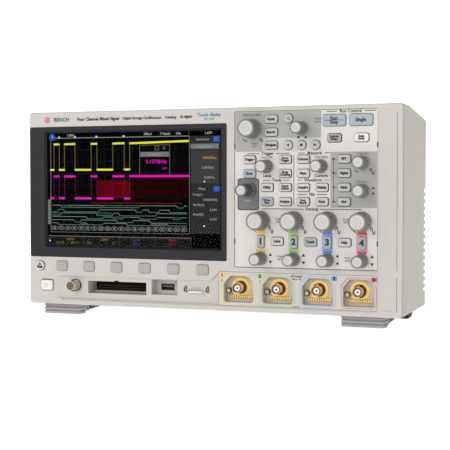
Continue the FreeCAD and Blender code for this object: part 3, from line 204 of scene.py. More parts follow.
# (roughness, grain in mm, drift in colour, relief): the looks that share them, with the
# colour that a display shows
LOOKS = {
    (0.55, 0.35, 0.02, 0.15): {"bezel": (195, 191, 184)},
    (0.6, 0.5, 0.025, 0.2): {"cabinet": (184, 180, 173)},
    (0.5, 0.25, 0.015, 0.1): {"panel": (211, 207, 202)},
    (0.5, 0.25, 0.02, 0.1): {
        "input_panel": (196, 192, 184), "zone_dark": (164, 162, 157), "zone_light": (193, 192, 187),
    },
    (0.45, 0.25, 0.04, 0.1): {"zone_entry": (112, 109, 114)},
    (0.6, 0.2, 0.1, 0.1): {"ink": (40, 40, 42)},
    (0.6, 0.2, 0.06, 0.1): {"ink_mid": (84, 84, 82)},
    (0.6, 0.2, 0.05, 0.1): {"ink_grey": (116, 115, 112)},
    (0.5, 0.2, 0.05, 0.1): {"badge": (190, 44, 62), "teal_ink": (58, 136, 150)},
    # gap_soft and shadow: the gaps round the keys with the keys' painted shadows
    (0.8, 0.2, 0.04, 0.1): {"gap_soft": (128, 126, 124)},
    (0.8, 0.2, 0.06, 0.1): {"shadow": (62, 61, 58)},
    (0.6, 0.2, 0.02, 0.1): {
        "key": (200, 197, 191), "key_zone": (187, 185, 180), "key_grey": (166, 164, 158),
        "key_dark": (165, 163, 158),
    },
    (0.5, 0.2, 0.02, 0.08): {"key_pale_blue": (163, 169, 176)},
    (0.5, 0.2, 0.03, 0.08): {"key_blue": (161, 169, 178)},
    (0.55, 0.2, 0.015, 0.08): {"key_white": (226, 224, 218)},
    (0.5, 0.3, 0.04, 0.15): {"knob": (138, 136, 131), "knob_dark": (100, 100, 98)},
    (0.5, 0.3, 0.04, 0.1): {"knob_edge": (116, 115, 111)},
    # groove and groove_dark: painted shade in the knobs' flutes
    (0.6, 0.3, 0.04, 0.1): {"groove": (84, 83, 80), "groove_dark": (48, 48, 47)},
    (0.45, 0.5, 0.03, 0.2): {"cap": (190, 188, 184)},
    (0.4, 0.3, 0.015, 0.08): {"cap_rim": (206, 204, 200)},
    (0.5, 0.2, 0.05, 0.06): {
        "yellow": (216, 184, 84), "green": (146, 186, 86), "blue": (92, 128, 208), "red": (205, 66, 84),
        "tag_orange": (226, 190, 112), "tag_green": (164, 200, 118), "tag_blue": (112, 146, 214),
        "tag_red": (200, 96, 112),
    },
    (0.5, 0.2, 0.03, 0.06): {
        "tint_yellow": (206, 196, 168), "tint_green": (184, 190, 172), "tint_blue": (182, 186, 200),
        "pale_yellow": (222, 205, 150), "pale_green": (184, 204, 140),
        "pale_blue": (150, 174, 226), "pale_red": (216, 164, 164), "line_yellow": (200, 194, 148),
        "line_green": (172, 186, 150), "line_blue": (160, 168, 214), "line_red": (190, 92, 112),
    },
    # pocket: painted light, paler than the input panel, for the insides of the input pockets
    (0.55, 0.3, 0.02, 0.1): {"pocket": (200, 195, 183)},
    # bronze: a darkened copy of the pale insulator, painted shade in the generator jack's bore
    (0.5, 0.3, 0.05, 0.08): {"bronze": (108, 92, 78)},
    (0.4, 0.3, 0.1, 0.05): {"pin": (98, 82, 64)},
    (0.5, 0.3, 0.12, 0.15): {"black": (34, 34, 36)},
    (0.35, 0.3, 0.12, 0.1): {"dark_metal": (40, 36, 32)},
    (0.6, 0.3, 0.03, 0.1): {"shadow_floor": (150, 148, 144)},
    # foot_dark: the tilt feet darkened for the shade under the instrument, painted shade
    (0.6, 0.4, 0.05, 0.2): {"foot_dark": (66, 63, 61)},
    (0.6, 0.4, 0.03, 0.2): {"foot": (156, 152, 152)},
    (0.4, 0.3, 0.03, 0.05): {"ptfe": (236, 220, 218)},
    (0.35, 0.4, 0.2, 0.03): {"lcd_back": (4, 4, 5)},
}
LIT_LOOKS = {
    "yellow": (235, 232, 60), "yellow_dim": (120, 118, 40), "magenta": (240, 20, 185),
    "magenta_dim": (105, 12, 82), "red": (96, 2, 12), "red_dark": (32, 2, 2), "red_line": (150, 20, 20),
    "teal": (92, 136, 118), "teal_dim": (0, 34, 20), "pale": (132, 154, 144), "bar": (24, 26, 22),
    "blue_dim": (62, 62, 118), "rose": (140, 30, 64), "grey": (120, 120, 120), "white": (235, 235, 235),
    "grid": (32, 33, 38), "orange": (186, 142, 58), "blue": (48, 84, 190), "panel": (46, 46, 46),
    "box": (62, 62, 61), "header": (120, 120, 118), "black": (3, 3, 4), "text": (168, 168, 168),
}
FAINT_LOOKS = ("yellow_dim", "magenta_dim")
METAL_LOOKS = (
    ("gold", (236, 194, 108), 0.36, 0.5, 0.06, 0.05),
    ("nickel", (206, 197, 180), 0.3, 0.6, 0.05, 0.04),
    ("brass", (222, 198, 160), 0.28, 0.5, 0.1, 0.05),
)
PLASTIC_LOOKS = (
    ("frame", (35, 36, 39), 0.5, 0.3, 0.05, 0.12, 0.25),
    ("header_black", (27, 20, 16), 0.65, 0.3, 0.12, 0.1, 0.2),
    ("rubber", (24, 24, 25), 0.75, 0.3, 0.12, 0.3, 0.2),
)
MAT = {}


def make_materials():
    for settings, colours in LOOKS.items():
        for name, rgb in colours.items():
            MAT[name] = surface(name, rgb, *settings)
    for name, *settings in METAL_LOOKS:
        MAT[name] = surface(name, *settings, metallic=1.0)
    for name, *settings, specular in PLASTIC_LOOKS:
        MAT[name] = surface(name, *settings, specular=specular)
    for name, rgb in LIT_LOOKS.items():
        glow = 0.8 if name in FAINT_LOOKS else 1.0
        MAT["lit_" + name] = surface("lit_" + name, rgb, 0.4, 0.25, 0.06, 0.02, glow=glow)
    MAT["board"] = surface("board", (28, 96, 56), 0.35, 0.8, 0.12, 0.2, coat=0.3)
    MAT["steel"] = brushed("steel", (190, 190, 190), 0.35)
    MAT["sheet"] = brushed("sheet", (176, 178, 180), 0.4)
    MAT["aluminium"] = brushed("aluminium", (200, 200, 204), 0.35)
    MAT["glass"] = clear_glass("glass")


CAD_LOOKS = {
    "bezel": ["front_bezel"],
    "cabinet": ["rear_cabinet"],
    "panel": ["control_panel"],
    "input_panel": ["input_panel"],
    "frame": ["display_frame"],
    "glass": ["touch_glass"],
    "lcd_back": ["lcd_module"],
    "board": ["keyboard_board", "acquisition_board", "power_supply"],
    "steel": ["rotary_encoders", "usb_ports", "cabinet_screws"],
    "nickel": ["auxiliary_jacks", "comp_terminals"],
    "brass": ["channel_jacks"],
    "gold": ["probe_contacts"],
    "header_black": ["digital_connector"],
    "black": ["fan_frame", "fan_rotor", "mains_inlet"],
    "sheet": ["chassis_deck", "rear_panel", "module_cover"],
    "aluminium": ["heat_sinks"],
    "rubber": ["handle_grip", "rear_feet"],
    "foot": ["front_feet"],
    # the tilt feet carry painted shade
    "foot_dark": ["tilt_foot_left", "tilt_foot_right"],
    "key_white": ["power_key", "auto_scale_key"],
    "key_blue": ["run_stop_key", "single_key", "channel_keys"],
    "key_grey": ["softkeys"],
    "key_dark": ["default_setup_key"],
    "key_zone": ["horizontal_keys", "math_keys"],
    "key": ["back_key", "trigger_keys", "measure_keys", "tools_keys", "waveform_keys", "vertical_keys"],
}


def dress_frame():
    """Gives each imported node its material; the nodes that CAD_LOOKS leaves out are the knobs."""
    looks = {node: look for look, nodes in CAD_LOOKS.items() for node in nodes}
    for node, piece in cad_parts.items():
        look = looks.get(node, "knob_dark" if node == "knob_entry" else "knob")
        piece.data.materials.clear()
        piece.data.materials.append(MAT[look])


# ---- shapes on an upright plane
def arc(x, z, radius, start, sweep, steps):
    """Points along part of a circle; start and sweep are degrees."""
    turns = [math.radians(start + sweep * n / steps) for n in range(steps + 1)]
    return [(x + radius * math.cos(a), z + radius * math.sin(a)) for a in turns]


def box_loop(x0, x1, z0, z1, corner=0.0, steps=6):
    """A rectangle's outline with rounded corners."""
    if corner <= 0:
        return [(x0, z0), (x1, z0), (x1, z1), (x0, z1)]
    loop = []
    centres = ((x1 - corner, z0 + corner, -90), (x1 - corner, z1 - corner, 0),
               (x0 + corner, z1 - corner, 90), (x0 + corner, z0 + corner, 180))
    for x, z, start in centres:
        loop += arc(x, z, corner, start, 90, steps)
    return loop


def circle_loop(x, z, radius, steps=48):
    return arc(x, z, radius, 0, 360, steps)[:-1]


def grown(loop, by):
    """The loop moved outwards by a distance, for a loop that runs anticlockwise."""
    out = []
    count = len(loop)
    for n in range(count):
        before, here, after = (Vector(loop[(n + k) % count]) for k in (-1, 0, 1))
        first, second = (here - before).normalized(), (after - here).normalized()
        normal = Vector((first.y + second.y, -first.x - second.x)).normalized()
        stretch = max(0.5, normal.dot(Vector((first.y, -first.x))))
        out.append(tuple(here + normal * by / stretch))
    return out


class Print:
    """Flat shapes and text on one upright plane, made into one thin piece."""

    def __init__(self, y, thickness=PRINT, faces=-1, across=0.0):
        self.y, self.thickness, self.faces, self.across = y, thickness, faces, across
        self.shapes, self.words = [], []

    def loop(self, outer, hole=None):
        """One shape; its hole, if it has one, has as many points as its outline."""
        self.shapes.append((outer, hole))
        return self

    def box(self, x0, x1, z0, z1, corner=0.0):
        return self.loop(box_loop(x0, x1, z0, z1, corner))

    def patch(self, x, z, half_w, half_h, corner=0.0):
        return self.box(x - half_w, x + half_w, z - half_h, z + half_h, corner)

    def bar(self, x0, x1, z, width):
        return self.box(x0, x1, z - width / 2, z + width / 2)

    def post(self, x, z0, z1, width):
        return self.box(x - width / 2, x + width / 2, z0, z1)

    def dot(self, x, z, radius):
        return self.loop(circle_loop(x, z, radius, 32))

    def ring(self, x, z, outer, inner):
        return self.loop(circle_loop(x, z, outer), circle_loop(x, z, inner))

    def stroke(self, points, width):
        """A line of some width, as one closed strip."""
        left, right = [], []
        for n, point in enumerate(points):
            here = Vector(point)
            before = (here - Vector(points[n - 1])).normalized() if n else None
            after = (Vector(points[n + 1]) - here).normalized() if n + 1 < len(points) else None
            way = ((before or after) + (after or before)).normalized()
            mitre = max(0.5, way.dot(after or before))
            side = Vector((-way.y, way.x)) * width / 2 / mitre
            left.append(tuple(here + side))
            right.append(tuple(here - side))
        for n in range(len(points) - 1):
            self.loop([right[n], right[n + 1], left[n + 1], left[n]])
        return self

    def frame(self, x0, x1, z0, z1, width, corner=0.0):
        inner = max(0.05, corner - width) if corner else 0.0
        return self.loop(box_loop(x0, x1, z0, z1, corner),
                         box_loop(x0 + width, x1 - width, z0 + width, z1 - width, inner))

    def text(self, words, x, z, size, bold=0.0):
        self.words.append((words, x, z, size, bold))
        return self

    def make(self, name, look, body="chassis", slot=None):
        work = bmesh.new()
        for outer, hole in self.shapes:
            add_plate(work, outer, hole, self.faces, self.thickness)
        for words, x, z, size, bold in self.words:
            curve = bpy.data.curves.new(name, "FONT")
            curve.body = words
            curve.size = size * MM
            curve.align_x, curve.align_y = "CENTER", "CENTER"
            curve.space_line = 0.82
            curve.offset = bold * MM
            curve.resolution_u = 3
            curve.extrude = self.thickness * MM / 2
            add_curve(work, curve, Matrix.Translation((x * MM * -self.faces, z * MM, 0)))
        upright = Matrix.Rotation(math.pi / 2, 4, "X")
        if self.faces > 0:
            upright = Matrix.Rotation(math.pi, 4, "Z") @ upright
        offset = self.y * MM + self.faces * self.thickness * MM / 2
        place = Matrix.Translation((self.across * MM, offset, 0)) @ upright
        bmesh.ops.transform(work, matrix=place, verts=work.verts)
        return finish_piece(name, work, look, body)


def add_plate(work, outer, hole, faces, thickness):
    """A flat plate with an outline and perhaps a hole, its faces half a thickness from the plane."""
    rims = [[[work.verts.new((x * MM * -faces, z * MM, side * thickness * MM / 2)) for x, z in loop]
             for side in (-1, 1)] for loop in (outer, hole) if loop]
    made = []
    for back, front in rims:
        for n in range(len(back)):
            m = (n + 1) % len(back)
            made.append(work.faces.new((back[n], back[m], front[m], front[n])))
    for side in (0, 1):
        if hole is None:
            made.append(work.faces.new(rims[0][side]))
            continue
        outside, inside = rims[0][side], rims[1][side]
        for n in range(len(outside)):
            m = (n + 1) % len(outside)
            made.append(work.faces.new((outside[n], outside[m], inside[m], inside[n])))
    bmesh.ops.recalc_face_normals(work, faces=made)


def add_curve(work, curve, matrix):
    """Adds a curve's filled mesh to the work mesh."""
    holder = add_object("holder", curve)
    graph = bpy.context.evaluated_depsgraph_get()
    mesh = bpy.data.meshes.new_from_object(holder.evaluated_get(graph))
    mesh.transform(matrix)
    work.from_mesh(mesh)
    bpy.data.objects.remove(holder)
    bpy.data.meshes.remove(mesh)
    bpy.data.curves.remove(curve)


def finish_piece(name, work, look, body, smooth=False):
    mesh = bpy.data.meshes.new(name)
    bmesh.ops.remove_doubles(work, verts=work.verts, dist=1e-7)
    work.to_mesh(mesh)
    work.free()
    if smooth:
        mesh.polygons.foreach_set("use_smooth", [True] * len(mesh.polygons))
    piece = add_object(name, mesh)
    mesh.materials.append(MAT[look])
    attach(piece, body)
    return piece


def lathe(name, centre, start, profile, look, body="chassis", steps=64):
    """A turned piece round an axis along Y; centre is (x, z), profile is (radius, y from start)."""
    work = bmesh.new()
    rings = []
    for radius, reach in profile:
        y = start + reach
        circle = circle_loop(*centre, radius, steps) if radius > 1e-6 else [centre]
        rings.append([work.verts.new((x * MM, y * MM, z * MM)) for x, z in circle])
    for first, second in zip(rings, rings[1:]):
        for n in range(steps):
            after = (n + 1) % steps
            corners = [first[n % len(first)], first[after % len(first)],
                       second[after % len(second)], second[n % len(second)]]
            unique = list(dict.fromkeys(corners))
            if len(unique) > 2:
                work.faces.new(unique)
    bmesh.ops.recalc_face_normals(work, faces=work.faces)
    piece = finish_piece(name, work, look, body, smooth=True)
    piece.data.set_sharp_from_angle(angle=math.radians(40))
    return piece


def solids_of(node):
    """(x, z, half width, half height, front y) of each separate solid in a CAD node, row by row."""
    work = bmesh.new()
    work.from_mesh(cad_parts[node].data)
    bmesh.ops.remove_doubles(work, verts=work.verts, dist=1e-6)
    left = set(work.verts)
    found = []
    while left:
        points, ends = [], [left.pop()]
        while ends:
            vertex = ends.pop()
            points.append(vertex.co / MM)
            near = {edge.other_vert(vertex) for edge in vertex.link_edges} & left
            left -= near
            ends.extend(near)
        front = min(p.y for p in points)
        cap = [p for p in points if p.y < front + 1.0]
        x0, x1 = min(p.x for p in cap), max(p.x for p in cap)
        z0, z1 = min(p.z for p in cap), max(p.z for p in cap)
        found.append(((x0 + x1) / 2, (z0 + z1) / 2, (x1 - x0) / 2, (z1 - z0) / 2, front))
    work.free()
    return sorted(found, key=lambda s: (-round(s[1] / 3), s[0]))


# ---- screen
LAYER = 0.04
TRACE_X = (-166.5, -162.5, -156.5, -150.5, -138.5, -120.5, -114.0, -96.5, -84.0, -78.0, -15.5)
SIDE_WORDS = (
    ("Summary", -1.0, 174.6, 3.6), ("Acquisition", 0.5, 167.9, 3.6), ("Meas", -1.5, 127.2, 3.6),
    ("Frequency", -51.0, 160.8, 3.2), ("5.00GSa/s", 4.5, 147.6, 3.2), ("20.0MHz", 6.0, 138.0, 3.2),
    ("Freq(1)", -6.0, 121.6, 3.4), ("5.0000MHz", 6.8, 116.6, 3.2), ("Pk-Pk(1)", -5.0, 111.6, 3.4),
    ("2.59V", 10.0, 107.0, 3.2), ("Ampl(2)", -5.6, 102.6, 3.4), ("2.02V", 10.0, 98.0, 3.2),
)


def screen_layer(n):
    """A sheet of the picture; sheets with a higher number lie nearer to the front."""
    return Print(SCREEN_Y - 0.02 - n * LAYER, LAYER * 0.9, across=PICTURE_SHIFT)


def make_trace(name, low, high, rise, width, bright, dim):
    """A square wave that starts low; its flat stretches are bright and its edges faint."""
    flats, edges = screen_layer(4), screen_layer(3)
    for n, (x0, x1) in enumerate(zip(TRACE_X, TRACE_X[1:])):
        level = high if n % 2 else low
        tilt = rise * (x1 - x0) / 60
        flats.stroke([(x0 - 0.3, level), (x1 + 0.3, level + (tilt if n % 2 else -tilt * 0.4))], width)
        if n:
            edges.post(x0, low, high, 0.65)
    flats.make("trace_" + name, bright)
    edges.make("trace_" + name + "_edges", dim)


def make_digital_lines():
    """Rows of logic traces that cross from level to level, above a row of bus cells."""
    chance = random.Random(7)
    rows = ((110.6, 108.6), (106.4, 104.2), (103.0, 100.6), (99.2, 97.4), (96.0, 93.8), (92.9, 91.2))
    upper, lower, filled = screen_layer(3), screen_layer(3), screen_layer(2)
    for high, low in rows:
        x, level = -165.5, chance.random() < 0.5
        while x < -17.0:
            step = chance.choice((7.0, 11.0, 18.0, 26.0, 40.0))
            end = min(x + step, -16.5)
            z0, z1 = (high, low) if level else (low, high)
            lines = upper if level else lower
            lines.bar(x + 0.8, end - 0.8, z0, 0.42)
            if chance.random() < 0.14:
                lines.bar(x + 0.8, end - 0.8, z1, 0.35)
                filled.box(x + 0.8, end - 0.8, low, high)
            if end < -16.6:
                lines.stroke([(end - 0.8, z0), (end + 0.8, z1)], 0.45)
            level = not level
            x = end
    upper.make("digital_traces_high", "lit_pale")
    lower.make("digital_traces_low", "lit_teal")
    filled.make("digital_fill", "lit_teal_dim")
    bus = screen_layer(3)
    values = screen_layer(4)
    cell = 7.45
    for n in range(20):
        x = -165.8 + n * cell
        outer = [(x, 87.7), (x + 1.4, 85.6), (x + cell - 1.4, 85.6), (x + cell, 87.7),
                 (x + cell - 1.4, 89.8), (x + 1.4, 89.8)]
        bus.loop(outer, grown(outer, -0.45))
        values.text("%02X" % chance.randrange(256), x + cell / 2, 87.6, 3.0)
    bus.make("bus_cells", "lit_grey")
    values.make("bus_values", "lit_text")


def make_screen():
    left, right, low, high = SCREEN
    black = Print(SCREEN_Y, LAYER * 0.9).box(left - 3, right + 2, low - 2.5, high + 2)
    black.make("screen_black", "lit_black")
    grid = screen_layer(1)
    for n in range(1, 10):
        grid.post(-166.0 + n * 15.05, 91.0, 177.5, 0.35)
    for n in range(1, 8):
        grid.bar(-166.0, -15.5, 83.5 + n * 11.8, 0.3)
    grid.make("graticule", "lit_grid")
    edges = screen_layer(2)
    edges.post(-166.2, 83.5, 178.0, 0.6).post(-14.6, 83.5, 178.4, 0.5)
    edges.bar(-166.0, -15.5, 83.6, 0.4).bar(-169.0, -12.5, 79.6, 0.5)
    edges.frame(-67.5, -35.0, 140.0, 170.0, 0.4)
    edges.frame(-50.8, -46.8, 164.8, 168.8, 0.4)
    edges.stroke([(-42.6, 165.4), (-39.8, 168.2)], 0.5).stroke([(-42.6, 168.2), (-39.8, 165.4)], 0.5)
    bars, bar_edges = screen_layer(1), screen_layer(2)
    for x0, x1 in ((-169.0, -130.0), (-129.0, -90.5), (-89.5, -51.5), (-50.5, -12.5)):
        bars.box(x0, x1, 70.8, 78.8)
        bar_edges.frame(x0, x1, 70.6, 79.0, 0.35)
    bars.make("channel_bars", "lit_bar")
    bar_edges.make("channel_bar_edges", "lit_box")
    edges.make("window_edges", "lit_header")
    screen_layer(2).bar(-166.0, -14.4, 178.0, 0.5).make("window_top", "lit_text")
    make_trace("yellow", 146.2, 171.8, 1.4, 1.9, "lit_yellow", "lit_yellow_dim")
    make_trace("magenta", 117.6, 139.6, 0.0, 2.1, "lit_magenta", "lit_magenta_dim")
    screen_layer(2).box(-114.0, -77.5, 118.0, 135.4).make("mask_zone", "lit_red")
    screen_layer(1.5).box(-77.5, -15.5, 118.2, 138.0).make("mask_zone_faint", "lit_red_dark")
    screen_layer(3).bar(-120.0, -22.0, 113.1, 0.5).make("trigger_line", "lit_red_line")
    make_digital_lines()
    make_screen_labels()


def make_screen_labels():
    """Readouts: generic figures and words, as small lit text."""
    screen_layer(1).box(-13.5, 17.2, 84.0, 178.0).make("side_panel", "lit_panel")
    screen_layer(2).box(-13.0, 15.0, 132.5, 164.8).make("side_box", "lit_box")
    headers = screen_layer(3).box(-13.4, 15.5, 165.6, 170.4).box(-66.5, -36.0, 158.5, 163.2)
    rows = screen_layer(3)
    for n in range(3):
        headers.box(-169.6, -166.9, 91.4 + 8.4 * n, 95.4 + 8.4 * n)
        rows.box(-169.6, -166.9, 95.8 + 8.4 * n, 99.4 + 8.4 * n)
    headers.make("header_bars", "lit_header")
    rows.make("row_marks", "lit_teal")
    blue = screen_layer(3).box(10.2, 16.6, 172.0, 177.4, 0.6).box(10.2, 16.6, 124.6, 130.0, 0.6)
    blue.dot(-164.5, 179.2, 3.4).make("blue_marks", "lit_blue")
    faint = screen_layer(3).text("2.00V/", -71.0, 76.6, 3.4, 0.08).text("50.0mV", -71.0, 72.9, 2.8, 0.05)
    faint.make("blue_text", "lit_blue_dim")
    icons = screen_layer(4)
    for z in (174.7, 127.3):
        icons.bar(11.7, 15.1, z + 0.9, 0.5).bar(11.7, 15.1, z - 0.9, 0.5)
    icons.make("header_icons", "lit_header")
    text = screen_layer(4)
    for words, x, z, size in SIDE_WORDS:
        text.text(words, x, z, size)
    for words, x, size in (("500ns/", -58.5, 3.2), ("T Ready", -40.0, 3.2), ("0.0s", -26.0, 3.2),
                           ("1.00V/", -143.5, 3.2), ("1.65V", 5.0, 3.4)):
        text.text(words, x, 180.6, size, 0.07)
    text.make("screen_text", "lit_text")
    screen_layer(4).text("118.000us", 6.0, 156.9, 3.6, 0.05).make("orange_text", "lit_orange")
    yellow = screen_layer(4).text("1.00V/", -144.5, 76.6, 3.4, 0.06).text("2.00V/", -106.0, 76.6, 3.4, 0.06)
    for words, x in (("DC 1M", -156.0), ("BW 1:1", -139.0), ("DC", -123.0), ("1:1", -96.0)):
        yellow.text(words, x, 72.9, 3.0, 0.05)
    yellow.make("yellow_text", "lit_yellow_dim")
    screen_layer(4).text("1", -15.2, 180.8, 2.8, 0.1).make("trigger_source", "lit_yellow_dim")
    magenta = screen_layer(4).text("5.1278kHz", -49.5, 153.6, 5.2, 0.03).text("1.0V", -41.0, 147.0, 3.0)
    magenta.make("magenta_text", "lit_magenta")
    rose = screen_layer(4).text("3.30V/", -32.5, 76.6, 3.4, 0.08).text("DC 1:1", -33.0, 72.9, 3.0, 0.05)
    rose.make("rose_text", "lit_rose")
    marks = screen_layer(4).dot(1.0, 134.2, 0.75).dot(0.7, 91.5, 0.8).dot(-167.6, 74.8, 0.8)
    for x in (-156.5, -138.5, -114.5, -84.5):
        marks.loop([(x - 1.3, 179.6), (x, 177.4), (x + 1.3, 179.6)])
    marks.text("1", -164.5, 179.2, 3.6).make("white_marks", "lit_white")


# ---- control panel
KEY_LEGENDS = {
    "horizontal_keys": ("Horiz", "zoom", "Search", "Navigate", "back", "stop", "forward"),
    "run_stop_key": ("Run\nStop",),
    "single_key": ("Single",),
    "default_setup_key": ("Default\nSetup",),
    "auto_scale_key": ("Auto\nScale",),
    "trigger_keys": ("Trigger", "Force\nTrigger", "Zone", "Mode\nCoupling"),
    "measure_keys": ("Cursors", "Meas"),
    "tools_keys": ("Utility", "Quick\nAction", "Wave\nGen", "Analyze"),
    "waveform_keys": ("Acquire", "Display", "Save\nRecall", "Print"),
    "math_keys": ("FFT", "Digital", "Math", "Ref"),
    "channel_keys": ("1", "2", "3", "4"),
    "vertical_keys": ("Label", "Touch", "Help"),
    "back_key": ("undo",),
    "power_key": ("power",),
}
BLUE_LEGENDS = ("Zone", "Wave\nGen", "Touch")
BLUE_CAP_DEPTH = 0.52
LEGEND_SIZES = {"channel_keys": (8.0, 0.42), "run_stop_key": (4.3, 0.16), "single_key": (4.3, 0.16)}
GLYPHS = ("zoom", "back", "stop", "forward", "undo", "power")


def key_glyph(ink, glyph, x, z):
    """Pictures on the keys that have no word."""
    if glyph == "zoom":
        ink.ring(x, z + 0.2, 1.35, 0.85).stroke([(x + 0.9, z - 0.8), (x + 1.9, z - 1.8)], 0.5)
    elif glyph == "back":
        ink.loop([(x + 1.3, z - 1.5), (x + 1.3, z + 1.5), (x - 1.4, z)])
    elif glyph == "stop":
        ink.box(x - 1.2, x + 1.2, z - 1.2, z + 1.2, 0.2)
    elif glyph == "forward":
        ink.loop([(x - 1.6, z - 1.5), (x + 1.0, z), (x - 1.6, z + 1.5)])
        ink.post(x + 1.6, z - 1.4, z + 1.4, 0.5)
    elif glyph == "undo":
        ink.loop([(x - 1.8, z + 0.5), (x + 1.8, z + 0.5), (x, z + 3.2)]).text("Back", x, z - 1.3, 2.9, 0.34)
    elif glyph == "power":
        ink.stroke(arc(x, z, 1.6, 120, 300, 20), 0.22).post(x, z + 0.4, z + 2.2, 0.22)


def make_key_legends():
    for node, legends in KEY_LEGENDS.items():
        solids = solids_of(node)
        ink = Print(solids[0][4], LEGEND_LAYER)
        for legend, (x, z, half_w, half_h, y) in zip(legends, solids):
            if legend in GLYPHS:
                key_glyph(ink, legend, x, z)
                continue
            usual = (2.75, 0.2) if "\n" in legend else (3.05, 0.22)
            ink.text(legend, x, z, *LEGEND_SIZES.get(node, usual))
            if node == "run_stop_key":
                ink.bar(x - half_w + 1.6, x + half_w - 1.6, z, 0.4)
        piece_name = node.replace("_keys", "").replace("_key", "") + "_legends"
        ink.make(piece_name, "ink_grey" if node == "power_key" else "ink", body=node)


def round_key(solid, margins, corner):
    """An outline round a key, with margins to the left, to the right, below and above."""
    x, z, half_w, half_h, y = solid
    left, right, below, above = margins
    return box_loop(x - half_w - left, x + half_w + right, z - half_h - below, z + half_h + above, corner)


def make_blue_caps():
    """The keys that glow blue: a bluish cap over the rubber of each."""
    for node, legends in KEY_LEGENDS.items():
        for legend, solid in zip(legends, solids_of(node)):
            if legend in BLUE_LEGENDS:
                cap = Print(solid[4] + BLUE_CAP_DEPTH, BLUE_CAP_DEPTH + 0.04)
                cap.loop(round_key(solid, (0.03, 0.03, 0.03, 0.03), 1.9))
                cap.make("blue_cap_" + legend.split()[0].lower(), "key_pale_blue", node, "blue_keys")


def make_key_gaps_and_shadows():
    """The gap round each key with the key's painted shadow, darker and wider on the side away from the
    light.
    """
    dark, soft = Print(PANEL_Y, SURROUND_LAYER), Print(PANEL_Y, SURROUND_LAYER)
    for node, legends in KEY_LEGENDS.items():
        for legend, solid in zip(legends, solids_of(node)):
            x, z, half_w, half_h, y = solid
            gaps, margins = dark, (0.4, 0.9, 0.7, 0.55)
            if node in ("run_stop_key", "single_key", "channel_keys"):
                margins = (0.3, 0.6, 0.5, 0.45)
            elif node == "power_key":
                gaps, margins = soft, (0.8, 1.3, 0.9, 1.0)
                # a painted shade line above the power key
                dark.bar(x - half_w + 0.9, x + half_w - 0.6, z + half_h + 0.75, 0.6)
            elif legend in BLUE_LEGENDS:
                gaps, margins = soft, (0.6, 1.0, 0.9, 0.6)
            if legend in GLYPHS and node != "power_key":
                gaps.loop(circle_loop(x + 0.3, z, half_w + 0.6), circle_loop(x, z, half_w + KEY_ROOM))
            else:
                gaps.loop(round_key(solid, margins, 2.4), round_key(solid, (KEY_ROOM,) * 4, 1.9))
    dark.make("key_surrounds", "shadow")
    soft.make("key_surrounds_soft", "gap_soft")


def make_zones():
    """Printed areas of the overlay plate, and painted shade along the gap round it."""
    under = Print(PANEL_Y, ZONE_LAYER)
    under.box(31.9, 115.5, 162.0, 199.1, 1.2).box(124.5, 167.6, 110.0, 161.0, 0.6)
    under.make("grey_zones", "zone_dark")
    upper = Print(PANEL_Y, UPPER_ZONE_LAYER)
    upper.box(59.0, 115.5, 162.0, 174.5).make("navigate_zone", "zone_light")
    Print(PANEL_Y, ZONE_LAYER).box(34.8, 55.0, 107.8, 136.5, 1.8).make("entry_zone", "zone_entry")
    rim = Print(PANEL_Y, UPPER_ZONE_LAYER)
    rim.frame(34.2, 55.6, 107.2, 137.1, 0.9, 2.4)
    rim.make("entry_rim", "ink")
    left, right, low, high = 31.5, 168.0, 53.5, 199.5
    # Painted shade: dark lines along the left, top and bottom of the gap round the panel, and short marks
    # at its sides.
    seam = Print(PANEL_Y, SURROUND_LAYER)
    seam.post(left - 0.15, low, high, 0.55).bar(left, right - 1, high + 0.15, 0.45)
    seam.bar(left + 1, right, low - 0.1, 0.6)
    for z in (167.2, 77.7):
        seam.post(left - 0.1, z - 2.2, z + 2.2, 1.2).post(right + 0.1, z - 2.2, z + 2.2, 1.2)
    seam.make("panel_seam", "shadow")


def wave_glyph(print_on, x, z, width, height, line):
    """One period of a sine wave."""
    points = [(x + width * (n / 16 - 0.5), z + height / 2 * math.sin(math.pi * n / 8)) for n in range(17)]
    print_on.stroke(points, line)


def triangle(print_on, x, z, size, way):
    """A small solid arrowhead; way is up, down, left or right."""
    turn = {"up": 90, "down": -90, "left": 180, "right": 0}[way]
    print_on.loop(arc(x, z, size, turn, 240, 2))


def knobs(prefix="knob_"):
    """Name, centre, front, back and width of each knob whose name starts with the prefix."""
    for node in sorted(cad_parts):
        if node.startswith(prefix):
            low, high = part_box(node)
            centre = ((low.x + high.x) / 2 / MM, (low.z + high.z) / 2 / MM)
            yield node, centre, low.y / MM, high.y / MM, (high.x - low.x) / MM


def knob_centres(prefix):
    return [centre for node, centre, front, back, width in knobs(prefix)]


# Words, ends of the rule, height, and the gap in the rule that the words stand in
HEADINGS = (
    ("Run Control", 120.6, 166.4, 197.9, 130.2, 156.0), ("Trigger", 43.7, 85.5, 160.2, 55.8, 72.0),
    ("Measure", 93.6, 124.0, 160.2, 100.0, 118.6), ("Tools", 59.5, 86.0, 135.3, 67.0, 79.0),
    ("Waveform", 93.0, 123.5, 135.3, 97.5, 118.5), ("File", 93.0, 121.5, 122.1, 102.5, 111.5),
    ("Vertical", 58.5, 153.0, 108.6, 99.0, 114.5),
)
# Arrowheads beside the knobs: way, across and up from the knob's axis, size
ARROWS = {
    "knob_position": (("up", 9.4, 3.6, 1.9), ("down", 9.4, -2.9, 1.9)),
    "knob_math_position": (("up", 9.8, 2.4, 1.7), ("down", 9.8, -2.4, 1.7)),
    "knob_horizontal_position": (("left", -3.2, -8.2, 1.8), ("right", 3.8, -8.2, 1.8)),
}
